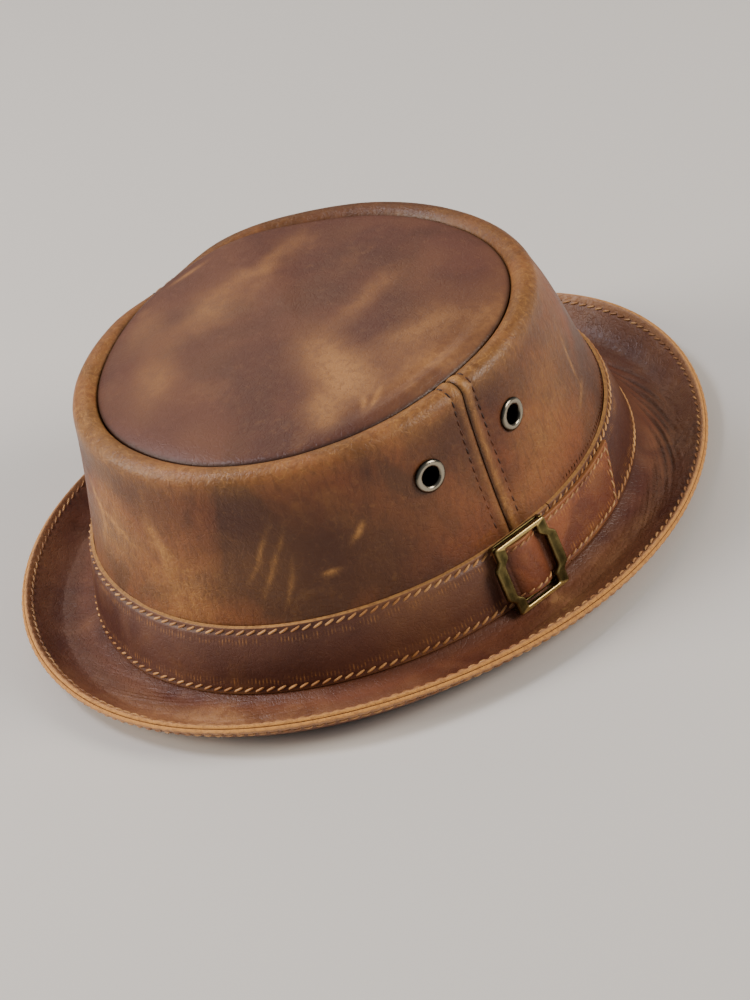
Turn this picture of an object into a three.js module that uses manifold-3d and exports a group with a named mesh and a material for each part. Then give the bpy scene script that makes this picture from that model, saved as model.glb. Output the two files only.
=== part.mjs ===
// Leather porkpie hat: flat-topped crown, curled brim, strap band with a slide buckle.
// Millimetres, +Z up. The hat rests on z = 0 on the low ring of its brim, the wearer's
// front faces -Y and the wearer's left, with the buckle, is +X.
import * as THREE from 'three'
import { mergeVertices } from 'three/addons/utils/BufferGeometryUtils.js'
import Module from 'manifold-3d'

// Outlines seen from above, one row for each level of the hat.
// long and wide are half sizes, middle is the centre's place along Y, egg narrows the
// back, square above 2 fills the corners, lead turns the sides back by so many degrees,
// and height follows with its changes round the hat: tilt (higher at the back), cross
// (higher at the sides), twist.
const OUTLINES = {
  base: {
    wide: 87.2, long: 103.3, middle: -1.8, egg: 0, square: 2, lead: 0,
    height: 6, tilt: 1.6, cross: -0.2, twist: -0.5,
  },
  bandTop: {
    wide: 81.1, long: 96.4, middle: -2.2, egg: -0.036, square: 2.12, lead: 0.6,
    height: 27.8, tilt: -0.7, cross: -1.2, twist: -2.6,
  },
  rim: {
    wide: 69.5, long: 76.3, middle: -9.8, egg: 0.03, square: 2.11, lead: 3.4,
    height: 78.3, tilt: 2.6, cross: 0, twist: 0.4,
  },
  brim: {
    wide: 109.5, long: 127.2, middle: -0.1, egg: -0.02, square: 2, lead: 0,
    height: 11, tilt: -2.3, cross: -1.2, twist: -4.1,
  },
}

// Leather and gaps
const CROWN_LEATHER = 1.8
const TIP_LEATHER = 1.8
const BRIM_PLY = 1.5
const BAND_LEATHER = 1.6
const GAP = 0.3

// Crown
const ROLL_RADIUS = 4.7
const ROLL_TURN_IN = 3.6
const SEAM_ANGLE = -3
const SEAM_DIP = 0.9
const SEAM_HALF_WIDTH = 1.3
const TIP_LIP = { angle: 25, climb: 25, lift: 1.2, at: 180, width: 30 }
const TIP_RISE = 4.4
const TIP_CURVE = 2.6
const TIP_TURN_DOWN = 3.2

// Where the rim is out of true at the far seam: place and half width in degrees, rise
const RIM_SWELL = { at: 160, width: 16, rise: 1.4 }
const RIM_SAG = { at: 184, width: 11, rise: -2.4 }

// Rows of the crown's surfaces: shares of the wall's height, steps round the rim's roll,
// shares of the lip's turn, and of the way from the middle of the tip to its lip
const WALL_ROWS = [0, 0.12, 0.28, 0.45, 0.62, 0.8, 1]
const ROLL_STEPS = 6
const LIP_ROWS = [0, 0.55, 1]
const DOME_ROWS = [0.985, 0.95, 0.87, 0.72, 0.5, 0.26]

// Brim: the low ring's place in its width and how sharply the edge curls up, each with
// its change from the sides (less) to front and back (more)
const GUTTER = { top: 3.1, start: 0.36, end: 0.47, change: 0.04 }
const CURL = { power: 1.6, change: 0.25 }
const CURL_ROWS = [1, 0.84, 0.66, 0.46, 0.24]
const SLOPE_ROWS = [0.66, 0.33, 0]

// Band, strap and buckle
const BAND_JOIN_ANGLE = 6
const BAND_JOIN_GAP = 0.35
const STRAP_START_ANGLE = -9.4
const STRAP_END_TOP = 29
const STRAP_END_BOTTOM = 22.8
const STRAP_LOW = 0.074
const STRAP_HIGH = 0.938
const BUCKLE_ANGLE = -3.9
const HUMP = { spare: 0.9, inside: 1.5, fullness: 0.8 }
const BUCKLE = {
  width: 22.6, height: 24.5, side: 4.1, end: 1.6, thick: 2.2, bevel: 0.4, shift: -0.35,
  step: 2.3, stepFrom: 0.62, stepTo: 0.46,
}
const RAIL = { thick: 1, belowTop: 0.5, aboveBottom: 2.1, post: 1.6, bar: 3.4, stand: 0.4 }

// Vents
const EYELET = {
  ring: 5.6, hole: 3, barrel: 3.7, thick: 1.1, clinch: 4.8, clinchThick: 0.8, reach: 0.35,
  place: 0.66, front: -16, back: 6.5, sides: 16,
}

// Fineness of the faceted surfaces: steps round the front and the back half
const FRONT_STEPS = 22
const BACK_STEPS = 24

const COLOURS = {
  crown: 0x9a6534, tip: 0x7d4a33, brim: 0x74402a, band: 0x5a2a20, strap: 0x84482c,
  brass: 0x8c7a45, gunmetal: 0x6d675c,
}

const radians = (degrees) => THREE.MathUtils.degToRad(degrees)
const power = (value, exponent) => Math.sign(value) * Math.abs(value) ** exponent

// A point of an outline at an angle from +X, moved outwards by out.
function outlinePoint(outline, place, out = 0) {
  const angle = place + radians(outline.lead) * Math.cos(place)
  const cos = Math.cos(angle)
  const sin = Math.sin(angle)
  const exponent = 2 / outline.square
  const x = power(cos, exponent) * outline.wide * (1 + outline.egg * sin)
  const y = power(sin, exponent) * outline.long + outline.middle
  const z = outline.height + outline.tilt * sin + outline.cross * Math.cos(2 * angle)
    + outline.twist * sin * Math.cos(2 * angle)
  const facing = outward(outline, place)
  return new THREE.Vector3(x + facing.x * out, y + facing.y * out, z)
}

// The level direction that points straight out of an outline, that of its plain ellipse.
function outward(outline, place) {
  const angle = place + radians(outline.lead) * Math.cos(place)
  const square = new THREE.Vector3(Math.cos(angle) * outline.long, Math.sin(angle) * outline.wide, 0)
  return square.normalize()
}

// A bell-shaped share, 1 at a place round the hat and fading over a half width.
function near({ at, width }, place) {
  const away = THREE.MathUtils.euclideanModulo(place - radians(at) + Math.PI, 2 * Math.PI) - Math.PI
  return Math.exp(-((away / radians(width)) ** 2))
}

// The rim's outline with its swell, which the roll and the tip both follow.
function rimPoint(place, out = 0) {
  const p = outlinePoint(OUTLINES.rim, place, out)
  p.z += RIM_SWELL.rise * near(RIM_SWELL, place)
  return p
}

// Outer skin of the crown at an angle: its foot, the level of the band's top, and the
// roll of the rim, whose start follows the lean of the wall.
function crownProfile(angle) {
  const standOff = -(BAND_LEATHER + GAP)
  const foot = outlinePoint(OUTLINES.base, angle, standOff)
  const waist = outlinePoint(OUTLINES.bandTop, angle, standOff)
  const centre = rimPoint(angle)
  centre.z += RIM_SAG.rise * near(RIM_SAG, angle)
  const facing = outward(OUTLINES.rim, angle)
  const onRoll = (turn, radius) => {
    const p = centre.clone().addScaledVector(facing, radius * Math.cos(turn))
    p.z += radius * Math.sin(turn)
    return p
  }
  let lean = 0
  let shoulder = onRoll(lean, ROLL_RADIUS)
  const wall = (v) => {
    const below = foot.distanceTo(waist)
    const s = below / (below + waist.distanceTo(shoulder))
    const p = new THREE.Vector3()
    p.addScaledVector(foot, (v - s) * (v - 1) / s)
    p.addScaledVector(waist, v * (v - 1) / (s * (s - 1)))
    p.addScaledVector(shoulder, v * (v - s) / (1 - s))
    return p
  }
  const nearTop = 0.98
  for (let pass = 0; pass < 4; pass += 1) {
    const slope = wall(1).sub(wall(nearTop))
    lean = Math.atan2(-slope.dot(facing), slope.z)
    shoulder = onRoll(lean, ROLL_RADIUS)
  }
  return { wall, onRoll, lean, facing }
}

// A closed body between two grids of points, row by row. Rows may close on themselves.
function skinBody(outer, inner, closed) {
  const rows = outer.length
  const columns = outer[0].length
  const points = [...outer.flat(), ...inner.flat()]
  const triangles = []
  const outerAt = (r, c) => r * columns + (c % columns)
  const innerAt = (r, c) => rows * columns + r * columns + (c % columns)
  const quad = (a, b, c, d) => triangles.push(a, b, c, a, c, d)
  const last = columns - 1
  const end = rows - 1
  const lastColumn = closed ? columns : last
  for (let r = 0; r < end; r += 1) {
    for (let c = 0; c < lastColumn; c += 1) {
      quad(outerAt(r, c), outerAt(r, c + 1), outerAt(r + 1, c + 1), outerAt(r + 1, c))
      quad(innerAt(r, c), innerAt(r + 1, c), innerAt(r + 1, c + 1), innerAt(r, c + 1))
    }
  }
  for (let c = 0; c < lastColumn; c += 1) {
    quad(outerAt(0, c), innerAt(0, c), innerAt(0, c + 1), outerAt(0, c + 1))
    quad(outerAt(end, c), outerAt(end, c + 1), innerAt(end, c + 1), innerAt(end, c))
  }
  if (!closed) {
    for (let r = 0; r < end; r += 1) {
      quad(outerAt(r, 0), outerAt(r + 1, 0), innerAt(r + 1, 0), innerAt(r, 0))
      quad(outerAt(r, last), innerAt(r, last), innerAt(r + 1, last), outerAt(r + 1, last))
    }
  }
  return bodyFrom(points, triangles)
}

function bodyFrom(points, triangles) {
  const geometry = new THREE.BufferGeometry()
  const numbers = points.flatMap((p) => [p.x, p.y, p.z])
  geometry.setAttribute('position', new THREE.Float32BufferAttribute(numbers, 3))
  geometry.setIndex(triangles)
  geometry.computeVertexNormals()
  return geometry
}

function angles(from, to, steps) {
  return Array.from({ length: steps + 1 }, (_, i) => from + (to - from) * i / steps)
}

const SEAM = radians(SEAM_ANGLE)
const FAR_SEAM = radians(180 - SEAM_ANGLE)
const FULL_TURN = 2 * Math.PI

// Every round piece is stepped at the same angles, so that the gaps between them stay
// even: once round from the near seam.
const RING = [
  ...angles(SEAM, FAR_SEAM, BACK_STEPS),
  ...angles(FAR_SEAM, SEAM + FULL_TURN, FRONT_STEPS).slice(1, -1),
]

// The ring's angles inside a span, which may start before the near seam or pass it.
function ringBetween(from, to) {
  const turns = [-FULL_TURN, 0, FULL_TURN]
  const all = turns.flatMap((turn) => RING.map((angle) => angle + turn))
  return all.filter((angle) => angle > from && angle < to)
}

function leather(colour) {
  return new THREE.MeshStandardMaterial({ color: colour, roughness: 0.55, metalness: 0 })
}

function metal(colour) {
  return new THREE.MeshStandardMaterial({ color: colour, roughness: 0.35, metalness: 1 })
}

// Booleans
const wasm = await Module()
wasm.setup()

function toSolid(geometry) {
  const plain = geometry.clone()
  plain.deleteAttribute('normal')
  plain.deleteAttribute('uv')
  const merged = mergeVertices(plain)
  return new wasm.Manifold(new wasm.Mesh({
    numProp: 3,
    vertProperties: Float32Array.from(merged.attributes.position.array),
    triVerts: Uint32Array.from(merged.index.array),
  }))
}

function fromSolid(solid) {
  const mesh = solid.getMesh()
  const geometry = new THREE.BufferGeometry()
  geometry.setAttribute('position', new THREE.Float32BufferAttribute(mesh.vertProperties, 3))
  geometry.setIndex(Array.from(mesh.triVerts))
  geometry.computeVertexNormals()
  return geometry
}

// The place of a flat thing on a surface: its middle and its own right, up and out.
function placeOn(surface, angle, v) {
  const small = 0.01
  const middle = surface(angle, v)
  const right = surface(angle + small, v).sub(surface(angle - small, v)).normalize()
  const up = surface(angle, v + small).sub(surface(angle, v - small)).normalize()
  const out = right.clone().cross(up).normalize()
  const level = out.clone().cross(right).normalize()
  return new THREE.Matrix4().makeBasis(right, level, out).setPosition(middle)
}

const crownSkin = (angle, v) => crownProfile(angle).wall(v)

// The place of a vent: a share of the height between the band's top and the shoulder,
// found by halving, because the wall's curve gives height for share and not back.
function ventPlace(angle) {
  const { wall } = crownProfile(angle)
  const waist = outlinePoint(OUTLINES.bandTop, angle)
  const shoulder = wall(1)
  const wanted = waist.z + (shoulder.z - waist.z) * EYELET.place
  let low = 0
  let high = 1
  while (high - low > 1e-6) {
    const half = (low + high) / 2
    if (wall(half).z < wanted) {
      low = half
    } else {
      high = half
    }
  }
  return placeOn(crownSkin, angle, low)
}

const VENTS = [
  { name: 'eyelet_left_front', angle: radians(EYELET.front) },
  { name: 'eyelet_left_back', angle: radians(EYELET.back) },
  { name: 'eyelet_right_front', angle: radians(180 - EYELET.front) },
  { name: 'eyelet_right_back', angle: radians(180 - EYELET.back) },
]

// One side panel of the crown: wall, rim roll and the part turned in to the tip.
// Beside its seams the outer skin dips, so two panels meet in a V.
function crownPanel(from, to) {
  const beside = SEAM_HALF_WIDTH / OUTLINES.rim.wide
  const clear = GAP / 2 / OUTLINES.rim.wide
  const inside = ringBetween(from + 2 * beside, to - 2 * beside)
  const columns = [from + clear, from + beside, ...inside, to - beside, to - clear]
  const outer = []
  const inner = []
  const dip = (angle) => (Math.min(angle - from, to - angle) < beside / 2 ? SEAM_DIP : 0)
  const shoulderRow = WALL_ROWS.length - 1
  const lastRow = shoulderRow + ROLL_STEPS + 1
  for (let row = 0; row <= lastRow; row += 1) {
    outer.push([])
    inner.push([])
  }
  for (const angle of columns) {
    const { wall, onRoll, lean, facing } = crownProfile(angle)
    const sunk = dip(angle)
    WALL_ROWS.forEach((v, row) => {
      const square = facing.clone().multiplyScalar(Math.cos(lean * v))
      square.z = Math.sin(lean * v)
      outer[row].push(wall(v).addScaledVector(square, -sunk))
      inner[row].push(wall(v).addScaledVector(square, -CROWN_LEATHER))
    })
    for (let step = 1; step <= ROLL_STEPS; step += 1) {
      const turn = lean + (Math.PI - lean) * step / ROLL_STEPS
      outer[shoulderRow + step].push(onRoll(turn, ROLL_RADIUS - sunk))
      inner[shoulderRow + step].push(onRoll(turn, ROLL_RADIUS - CROWN_LEATHER))
    }
    const down = new THREE.Vector3(0, 0, -ROLL_TURN_IN)
    outer[lastRow].push(onRoll(Math.PI, ROLL_RADIUS - sunk).add(down))
    inner[lastRow].push(onRoll(Math.PI, ROLL_RADIUS - CROWN_LEATHER).add(down))
  }
  let solid = toSolid(skinBody(outer, inner, false))
  const inPanel = (angle) => [angle, angle - FULL_TURN].some((a) => a > from && a < to)
  const drillRadius = EYELET.barrel + GAP
  const drillLength = 16
  for (const vent of VENTS.filter(({ angle }) => inPanel(angle))) {
    const drill = new THREE.CylinderGeometry(drillRadius, drillRadius, drillLength, EYELET.sides)
    drill.rotateX(Math.PI / 2)
    drill.applyMatrix4(ventPlace(vent.angle))
    solid = solid.subtract(toSolid(drill))
  }
  return fromSolid(solid)
}

// Tip: an oval of leather whose edge leans on the roll of the rim, domed inside that
// edge, with its margin turned down in the rim. Over the far seam the edge climbs higher.
function tipBody() {
  const reach = ROLL_RADIUS + GAP
  const lipAt = (angle, part) => {
    const far = near(TIP_LIP, angle)
    const turn = radians(TIP_LIP.angle + TIP_LIP.climb * far) * part
    return { inset: reach * Math.cos(turn), level: reach * Math.sin(turn) + TIP_LIP.lift * far * part }
  }
  const edgeRow = (inset, level) => RING.map((angle) => {
    const p = rimPoint(angle, -inset)
    p.z += level
    return p
  })
  const lipRow = (part, depth) => RING.map((angle) => {
    const { inset, level } = lipAt(angle, part)
    const p = rimPoint(angle, -inset - depth)
    p.z += level
    return p
  })
  const middle = new THREE.Vector3(0, OUTLINES.rim.middle, OUTLINES.rim.height)
  const plainLip = reach * Math.sin(radians(TIP_LIP.angle))
  const dome = (share) => TIP_RISE * (1 - share ** TIP_CURVE) ** (1 / TIP_CURVE)
  const domeRow = (share, depth) => RING.map((angle) => {
    const { inset, level } = lipAt(angle, 1)
    const p = middle.clone().lerp(rimPoint(angle, -inset - depth), share)
    p.z += plainLip + (level - plainLip) * share ** 2 + dome(share) - depth
    return p
  })
  const face = (depth) => [
    edgeRow(reach + depth, -TIP_TURN_DOWN),
    ...LIP_ROWS.map((part) => lipRow(part, depth)),
    ...DOME_ROWS.map((share) => domeRow(share, depth)),
  ]
  const top = face(0)
  const points = [...top.flat(), ...face(TIP_LEATHER).flat()]
  const count = RING.length
  const triangles = []
  const quad = (a, b, c, d) => triangles.push(a, b, c, a, c, d)
  const topAt = (r, c) => r * count + (c % count)
  const bottomAt = (r, c) => (top.length + r) * count + (c % count)
  for (let r = 0; r < top.length - 1; r += 1) {
    for (let c = 0; c < count; c += 1) {
      quad(topAt(r, c), topAt(r, c + 1), topAt(r + 1, c + 1), topAt(r + 1, c))
      quad(bottomAt(r, c), bottomAt(r + 1, c), bottomAt(r + 1, c + 1), bottomAt(r, c + 1))
    }
  }
  const crest = middle.clone().add(new THREE.Vector3(0, 0, plainLip + dome(0)))
  points.push(crest, crest.clone().sub(new THREE.Vector3(0, 0, TIP_LEATHER)))
  const crestAt = points.length - 2
  const last = top.length - 1
  for (let c = 0; c < count; c += 1) {
    triangles.push(topAt(last, c), topAt(last, c + 1), crestAt)
    triangles.push(bottomAt(last, c + 1), bottomAt(last, c), crestAt + 1)
    quad(topAt(0, c), bottomAt(0, c), bottomAt(0, c + 1), topAt(0, c + 1))
  }
  return bodyFrom(points, triangles)
}

// Shape of the brim's section at an angle: where its low ring lies and how it curls.
function brimSection(angle) {
  const ends = -Math.cos(2 * angle)
  return {
    gutterStart: GUTTER.start + GUTTER.change * ends,
    gutterEnd: GUTTER.end + GUTTER.change * ends,
    curl: CURL.power + CURL.change * ends,
  }
}

// Level and slope of the brim's upper face at a share of its width.
function brimLevel(share, start, end, { gutterStart, gutterEnd, curl }) {
  if (share <= 0) return { level: start, slope: 0 }
  if (share < gutterStart) {
    const left = 1 - share / gutterStart
    const drop = start - GUTTER.top
    return { level: GUTTER.top + drop * left ** 2, slope: -2 * drop * left / gutterStart }
  }
  if (share <= gutterEnd) return { level: GUTTER.top, slope: 0 }
  const up = (share - gutterEnd) / (1 - gutterEnd)
  return {
    level: GUTTER.top + (end - GUTTER.top) * up ** curl,
    slope: curl * (end - GUTTER.top) * up ** (curl - 1) / (1 - gutterEnd),
  }
}

// One ply of the brim between two depths below the upper face.
function brimPly(depthTop, depthBottom) {
  const inner = -(BAND_LEATHER + GAP + CROWN_LEATHER)
  const lowest = 2 * BRIM_PLY + GAP - depthBottom
  const rowPoint = (angle, share, depth, section) => {
    const from = outlinePoint(OUTLINES.base, angle)
    const to = outlinePoint(OUTLINES.brim, angle)
    const width = Math.hypot(to.x - from.x, to.y - from.y)
    const direction = new THREE.Vector3(to.x - from.x, to.y - from.y, 0).divideScalar(width)
    const { level, slope } = brimLevel(share, from.z - GAP, to.z, section)
    const tilt = share === 0 ? 0 : Math.atan(slope / width)
    const p = new THREE.Vector3(from.x, from.y, 0)
    p.addScaledVector(direction, width * share + depth * Math.sin(tilt))
    p.z = Math.max(level - depth * Math.cos(tilt), lowest + depthBottom - depth)
    return p
  }
  const curlShare = (row, { gutterEnd }) => gutterEnd + (1 - gutterEnd) * row
  const slopeShare = (row, { gutterStart }) => gutterStart * row
  const rowShares = [
    ...CURL_ROWS.map((row) => (section) => curlShare(row, section)),
    (section) => section.gutterEnd,
    (section) => section.gutterStart,
    ...SLOPE_ROWS.map((row) => (section) => slopeShare(row, section)),
  ]
  const side = (depth) => {
    const rows = rowShares.map((shareIn) => RING.map((angle) => {
      const section = brimSection(angle)
      return rowPoint(angle, shareIn(section), depth, section)
    }))
    const underCrown = RING.map((angle) => {
      const p = outlinePoint(OUTLINES.base, angle, inner)
      p.z -= GAP + depth
      return p
    })
    return [...rows, underCrown]
  }
  return skinBody(side(depthTop), side(depthBottom), true)
}

// A point at a share of the band's height, moved level outwards from its outer face.
function bandPoint(angle, v, out = 0) {
  const low = outlinePoint(OUTLINES.base, angle, out)
  const high = outlinePoint(OUTLINES.bandTop, angle, out)
  return low.lerp(high, v)
}

// The same, lifted square to the band's face.
function overBand(angle, v, lift) {
  const square = new THREE.Vector3().setFromMatrixColumn(placeOn(bandPoint, angle, 0.5), 2)
  return bandPoint(angle, v).addScaledVector(square, lift)
}

function hatBand() {
  const half = BAND_JOIN_GAP / 2 / OUTLINES.base.wide
  const join = radians(BAND_JOIN_ANGLE)
  const start = join + half
  const end = join + FULL_TURN - half
  const columns = [start, ...ringBetween(start, end), end]
  const heights = [0, 0.5, 1]
  const outer = heights.map((v) => columns.map((angle) => bandPoint(angle, v)))
  const inner = heights.map((v) => columns.map((angle) => bandPoint(angle, v, -BAND_LEATHER)))
  return skinBody(outer, inner, false)
}

// The strap's inner face: flat on the band, raised where it runs over the hidden bar.
function strapLift(angle) {
  const along = (angle - radians(BUCKLE_ANGLE)) * OUTLINES.base.wide
  const reach = BUCKLE.width / 2 - BUCKLE.side - HUMP.inside
  if (Math.abs(along) >= reach) return GAP
  const hump = Math.cos(along / reach * Math.PI / 2) ** HUMP.fullness
  return GAP + (RAIL.thick + GAP + HUMP.spare) * hump
}

function buckleStrap() {
  const heights = [STRAP_LOW, (STRAP_LOW + STRAP_HIGH) / 2, STRAP_HIGH]
  const start = radians(STRAP_START_ANGLE)
  const past = 2 * radians(BUCKLE_ANGLE) - start
  const endAt = (v) => {
    const share = (v - STRAP_LOW) / (STRAP_HIGH - STRAP_LOW)
    return radians(STRAP_END_BOTTOM + (STRAP_END_TOP - STRAP_END_BOTTOM) * share)
  }
  const row = (v, lift) => {
    const columns = [...angles(start, past, 18), ...angles(past, endAt(v), 8).slice(1)]
    return columns.map((angle) => overBand(angle, v, strapLift(angle) + lift))
  }
  const outer = heights.map((v) => row(v, BAND_LEATHER))
  const inner = heights.map((v) => row(v, 0))
  return skinBody(outer, inner, false)
}

// Slide buckle: a frame with stepped sides, thin rear rails above and below the strap,
// and a bar behind the strap that joins the rails.
function buckleBody() {
  const half = BUCKLE.width / 2
  const tall = BUCKLE.height / 2
  const out = half + BUCKLE.step
  const stepFrom = tall * BUCKLE.stepFrom
  const stepTo = tall * BUCKLE.stepTo
  const right = [
    [half, tall], [half, stepFrom], [out, stepTo], [out, -stepTo], [half, -stepFrom], [half, -tall],
  ]
  const outline = [...right, ...right.map(([x, y]) => [-x, -y])]
  const inside = ([x, y]) => [
    x - Math.sign(x) * BUCKLE.side,
    Math.abs(y) === tall ? y - Math.sign(y) * BUCKLE.end : y,
  ]
  const corner = ([x, y]) => new THREE.Vector2(x, y)
  const frame = new THREE.Shape(outline.map(corner))
  frame.holes.push(new THREE.Path(outline.map(inside).reverse().map(corner)))
  const plate = new THREE.ExtrudeGeometry(frame, {
    depth: BUCKLE.thick - 2 * BUCKLE.bevel,
    bevelThickness: BUCKLE.bevel,
    bevelSize: BUCKLE.bevel,
    bevelOffset: -BUCKLE.bevel,
    bevelSegments: 1,
    steps: 1,
  })
  const plateBack = GAP + BAND_LEATHER + GAP
  plate.translate(0, 0, plateBack + BUCKLE.bevel)
  let solid = toSolid(plate)
  const block = (x, y, z, width, height, depth) => {
    const box = new THREE.BoxGeometry(width, height, depth)
    box.translate(x, y, z)
    solid = solid.add(toSolid(box))
  }
  const railMiddle = RAIL.stand + RAIL.thick / 2
  const postLength = plateBack + 2 * BUCKLE.bevel - RAIL.stand
  const postMiddle = RAIL.stand + postLength / 2
  const railTop = tall - RAIL.belowTop
  const railBottom = -tall + RAIL.aboveBottom
  for (const level of [railTop, railBottom]) {
    block(0, level, railMiddle, BUCKLE.width, RAIL.thick, RAIL.thick)
    for (const end of [half - RAIL.post / 2, -half + RAIL.post / 2]) {
      block(end, level, postMiddle, RAIL.post, RAIL.thick, postLength)
    }
  }
  const barMiddle = (railTop + railBottom) / 2
  block(0, barMiddle, railMiddle, RAIL.bar, railTop - railBottom, RAIL.thick)
  return fromSolid(solid)
}

// Flanged vent, turned round its own axis: ring outside, barrel through the leather,
// smaller ring inside.
function eyeletBody() {
  const inside = -(CROWN_LEATHER + GAP + EYELET.reach)
  const end = inside - EYELET.clinchThick
  const crest = GAP + EYELET.thick
  const shoulder = GAP + 0.6 * EYELET.thick
  const soften = 0.3
  const profile = [
    [EYELET.barrel, inside],
    [EYELET.barrel, GAP],
    [EYELET.ring, GAP],
    [EYELET.ring - soften, shoulder],
    [(EYELET.ring + EYELET.hole) / 2, crest],
    [EYELET.hole + soften, shoulder],
    [EYELET.hole, GAP],
    [EYELET.hole, end],
    [EYELET.clinch, end],
    [EYELET.clinch, inside],
    [EYELET.barrel, inside],
  ].map(([radius, level]) => new THREE.Vector2(radius, level))
  const body = new THREE.LatheGeometry(profile, EYELET.sides)
  body.rotateX(Math.PI / 2)
  return body
}

const hat = new THREE.Group()

function add(name, geometry, material, parent = hat) {
  const mesh = new THREE.Mesh(geometry, material)
  mesh.name = name
  parent.add(mesh)
}

add('crown_side_front', crownPanel(FAR_SEAM - FULL_TURN, SEAM), leather(COLOURS.crown))
add('crown_side_back', crownPanel(SEAM, FAR_SEAM), leather(COLOURS.crown))
add('crown_tip', tipBody(), leather(COLOURS.tip))
add('brim_upper', brimPly(0, BRIM_PLY), leather(COLOURS.brim))
add('brim_under', brimPly(BRIM_PLY + GAP, 2 * BRIM_PLY + GAP), leather(COLOURS.brim))
add('hat_band', hatBand(), leather(COLOURS.band))
add('buckle_strap', buckleStrap(), leather(COLOURS.strap))

// The buckle stands on the band's outer face, level with its middle.
const buckleSeat = new THREE.Group()
buckleSeat.applyMatrix4(placeOn(bandPoint, radians(BUCKLE_ANGLE), 0.5))
hat.add(buckleSeat)
const buckleShift = new THREE.Group()
buckleShift.position.set(0, BUCKLE.shift, 0)
buckleSeat.add(buckleShift)
add('buckle', buckleBody(), metal(COLOURS.brass), buckleShift)

for (const vent of VENTS) {
  const seat = new THREE.Group()
  seat.applyMatrix4(ventPlace(vent.angle))
  hat.add(seat)
  add(vent.name, eyeletBody(), metal(COLOURS.gunmetal), seat)
}

export default hat
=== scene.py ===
"""A leather porkpie hat, dressed piece by piece as it is cut, sewn and riveted together."""

import bpy
import numpy as np
from mathutils import Matrix


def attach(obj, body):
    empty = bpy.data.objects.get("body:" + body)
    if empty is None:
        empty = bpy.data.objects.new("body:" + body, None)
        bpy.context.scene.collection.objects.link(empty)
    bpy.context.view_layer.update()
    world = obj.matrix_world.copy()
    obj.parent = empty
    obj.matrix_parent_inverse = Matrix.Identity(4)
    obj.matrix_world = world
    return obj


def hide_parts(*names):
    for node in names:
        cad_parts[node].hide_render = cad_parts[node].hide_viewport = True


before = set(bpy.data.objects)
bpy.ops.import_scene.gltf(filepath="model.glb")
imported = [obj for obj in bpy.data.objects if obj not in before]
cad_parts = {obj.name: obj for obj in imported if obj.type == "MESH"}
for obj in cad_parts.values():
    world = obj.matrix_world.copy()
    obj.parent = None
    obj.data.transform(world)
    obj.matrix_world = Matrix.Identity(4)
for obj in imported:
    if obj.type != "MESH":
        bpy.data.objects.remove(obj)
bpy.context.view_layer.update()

# Camera
# Stands at the wearer's left front, 34 degrees up, turned about its own axis as the
# photograph is. Its three directions are given in the hat's frame.
CAMERA_PLACE = (0.62438, -0.46042, 0.52835)
CAMERA_RIGHT = (0.69039, 0.69155, -0.21243)
CAMERA_UP = (-0.28137, 0.5272, 0.80181)
CAMERA_BACK = (0.66648, -0.49379, 0.55855)
CAMERA_SENSOR = 36
CAMERA_LENS = 97.13
camera = bpy.data.objects.new("camera", bpy.data.cameras.new("camera"))
turned = Matrix((CAMERA_RIGHT, CAMERA_UP, CAMERA_BACK)).transposed().to_4x4()
camera.matrix_world = Matrix.Translation(CAMERA_PLACE) @ turned
camera.data.sensor_width = CAMERA_SENSOR
camera.data.lens = CAMERA_LENS
bpy.context.scene.collection.objects.link(camera)
bpy.context.scene.camera = camera

# Crown sides
# Two panels of oiled leather 1.8 mm thick, sewn edge to edge at the wearer's left and
# right, with the seam pressed open and stitched down on both sides. Their top is rolled
# over, hollow inside, to make the rim, and turned in against the tip.
OUTLINES = {
    "base": dict(wide=87.2, long=103.3, middle=-1.8, egg=0, square=2, lead=0,
                 height=6, tilt=1.6, cross=-0.2, twist=-0.5),
    "band_top": dict(wide=81.1, long=96.4, middle=-2.2, egg=-0.036, square=2.12, lead=0.6,
                     height=27.8, tilt=-0.7, cross=-1.2, twist=-2.6),
    "rim": dict(wide=69.5, long=76.3, middle=-9.8, egg=0.03, square=2.11, lead=3.4,
                height=78.3, tilt=2.6, cross=0, twist=0.4),
}
# Out of true at the far seam: place and half width in degrees, rise in millimetres
RIM_SWELL = dict(at=160, width=16, rise=1.4)
RIM_SAG = dict(at=184, width=11, rise=-2.4)
CROWN_LEATHER = 1.8
CROWN_BEHIND_BAND = 1.9
ROLL_RADIUS = 4.7
ROLL_TURN_IN = 3.6
SEAM = np.radians(-3)
FAR_SEAM = np.radians(183)
SEAM_GAP = 0.15
SEAM_STITCH_OUT = 3.7
VENT_SHARE = 0.66
VENTS = {
    "eyelet_left_front": np.radians(-16),
    "eyelet_left_back": np.radians(6.5),
    "eyelet_right_front": np.radians(196),
    "eyelet_right_back": np.radians(173.5),
}
VENT_HOLE = 4.3
CROWN_RADIUS = 80.0
MM_A_DEGREE = 1.45
PANEL_COLUMNS = 290
WALL_ROWS = 56
ROLL_ROWS = 15
MARGIN_ROWS = 3
# Rows of a panel over which the wall gives way to the roll, and the roll to its turned-in margin
ROLL_BLEND = (50, 60)
MARGIN_BLEND = (65, 72)
# Millimetres from a seam at which a panel has columns, and where its even columns begin
BESIDE_SEAM = [SEAM_GAP, 0.35, 0.55, 0.8, 1.1, 1.45, 1.8, 2.2, 2.6, 3.0, 3.35, 3.65, 3.95, 4.3, 4.8,
               5.5, 6.4]
EVEN_FROM = 7.3
MM = 0.001
UP = np.array([0.0, 0.0, 1.0])


def outline_angle(row, place):
    """The angle of an outline at a place round the hat: the sides are led back by row's lead."""
    return place + np.radians(row["lead"]) * np.cos(place)


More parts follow.
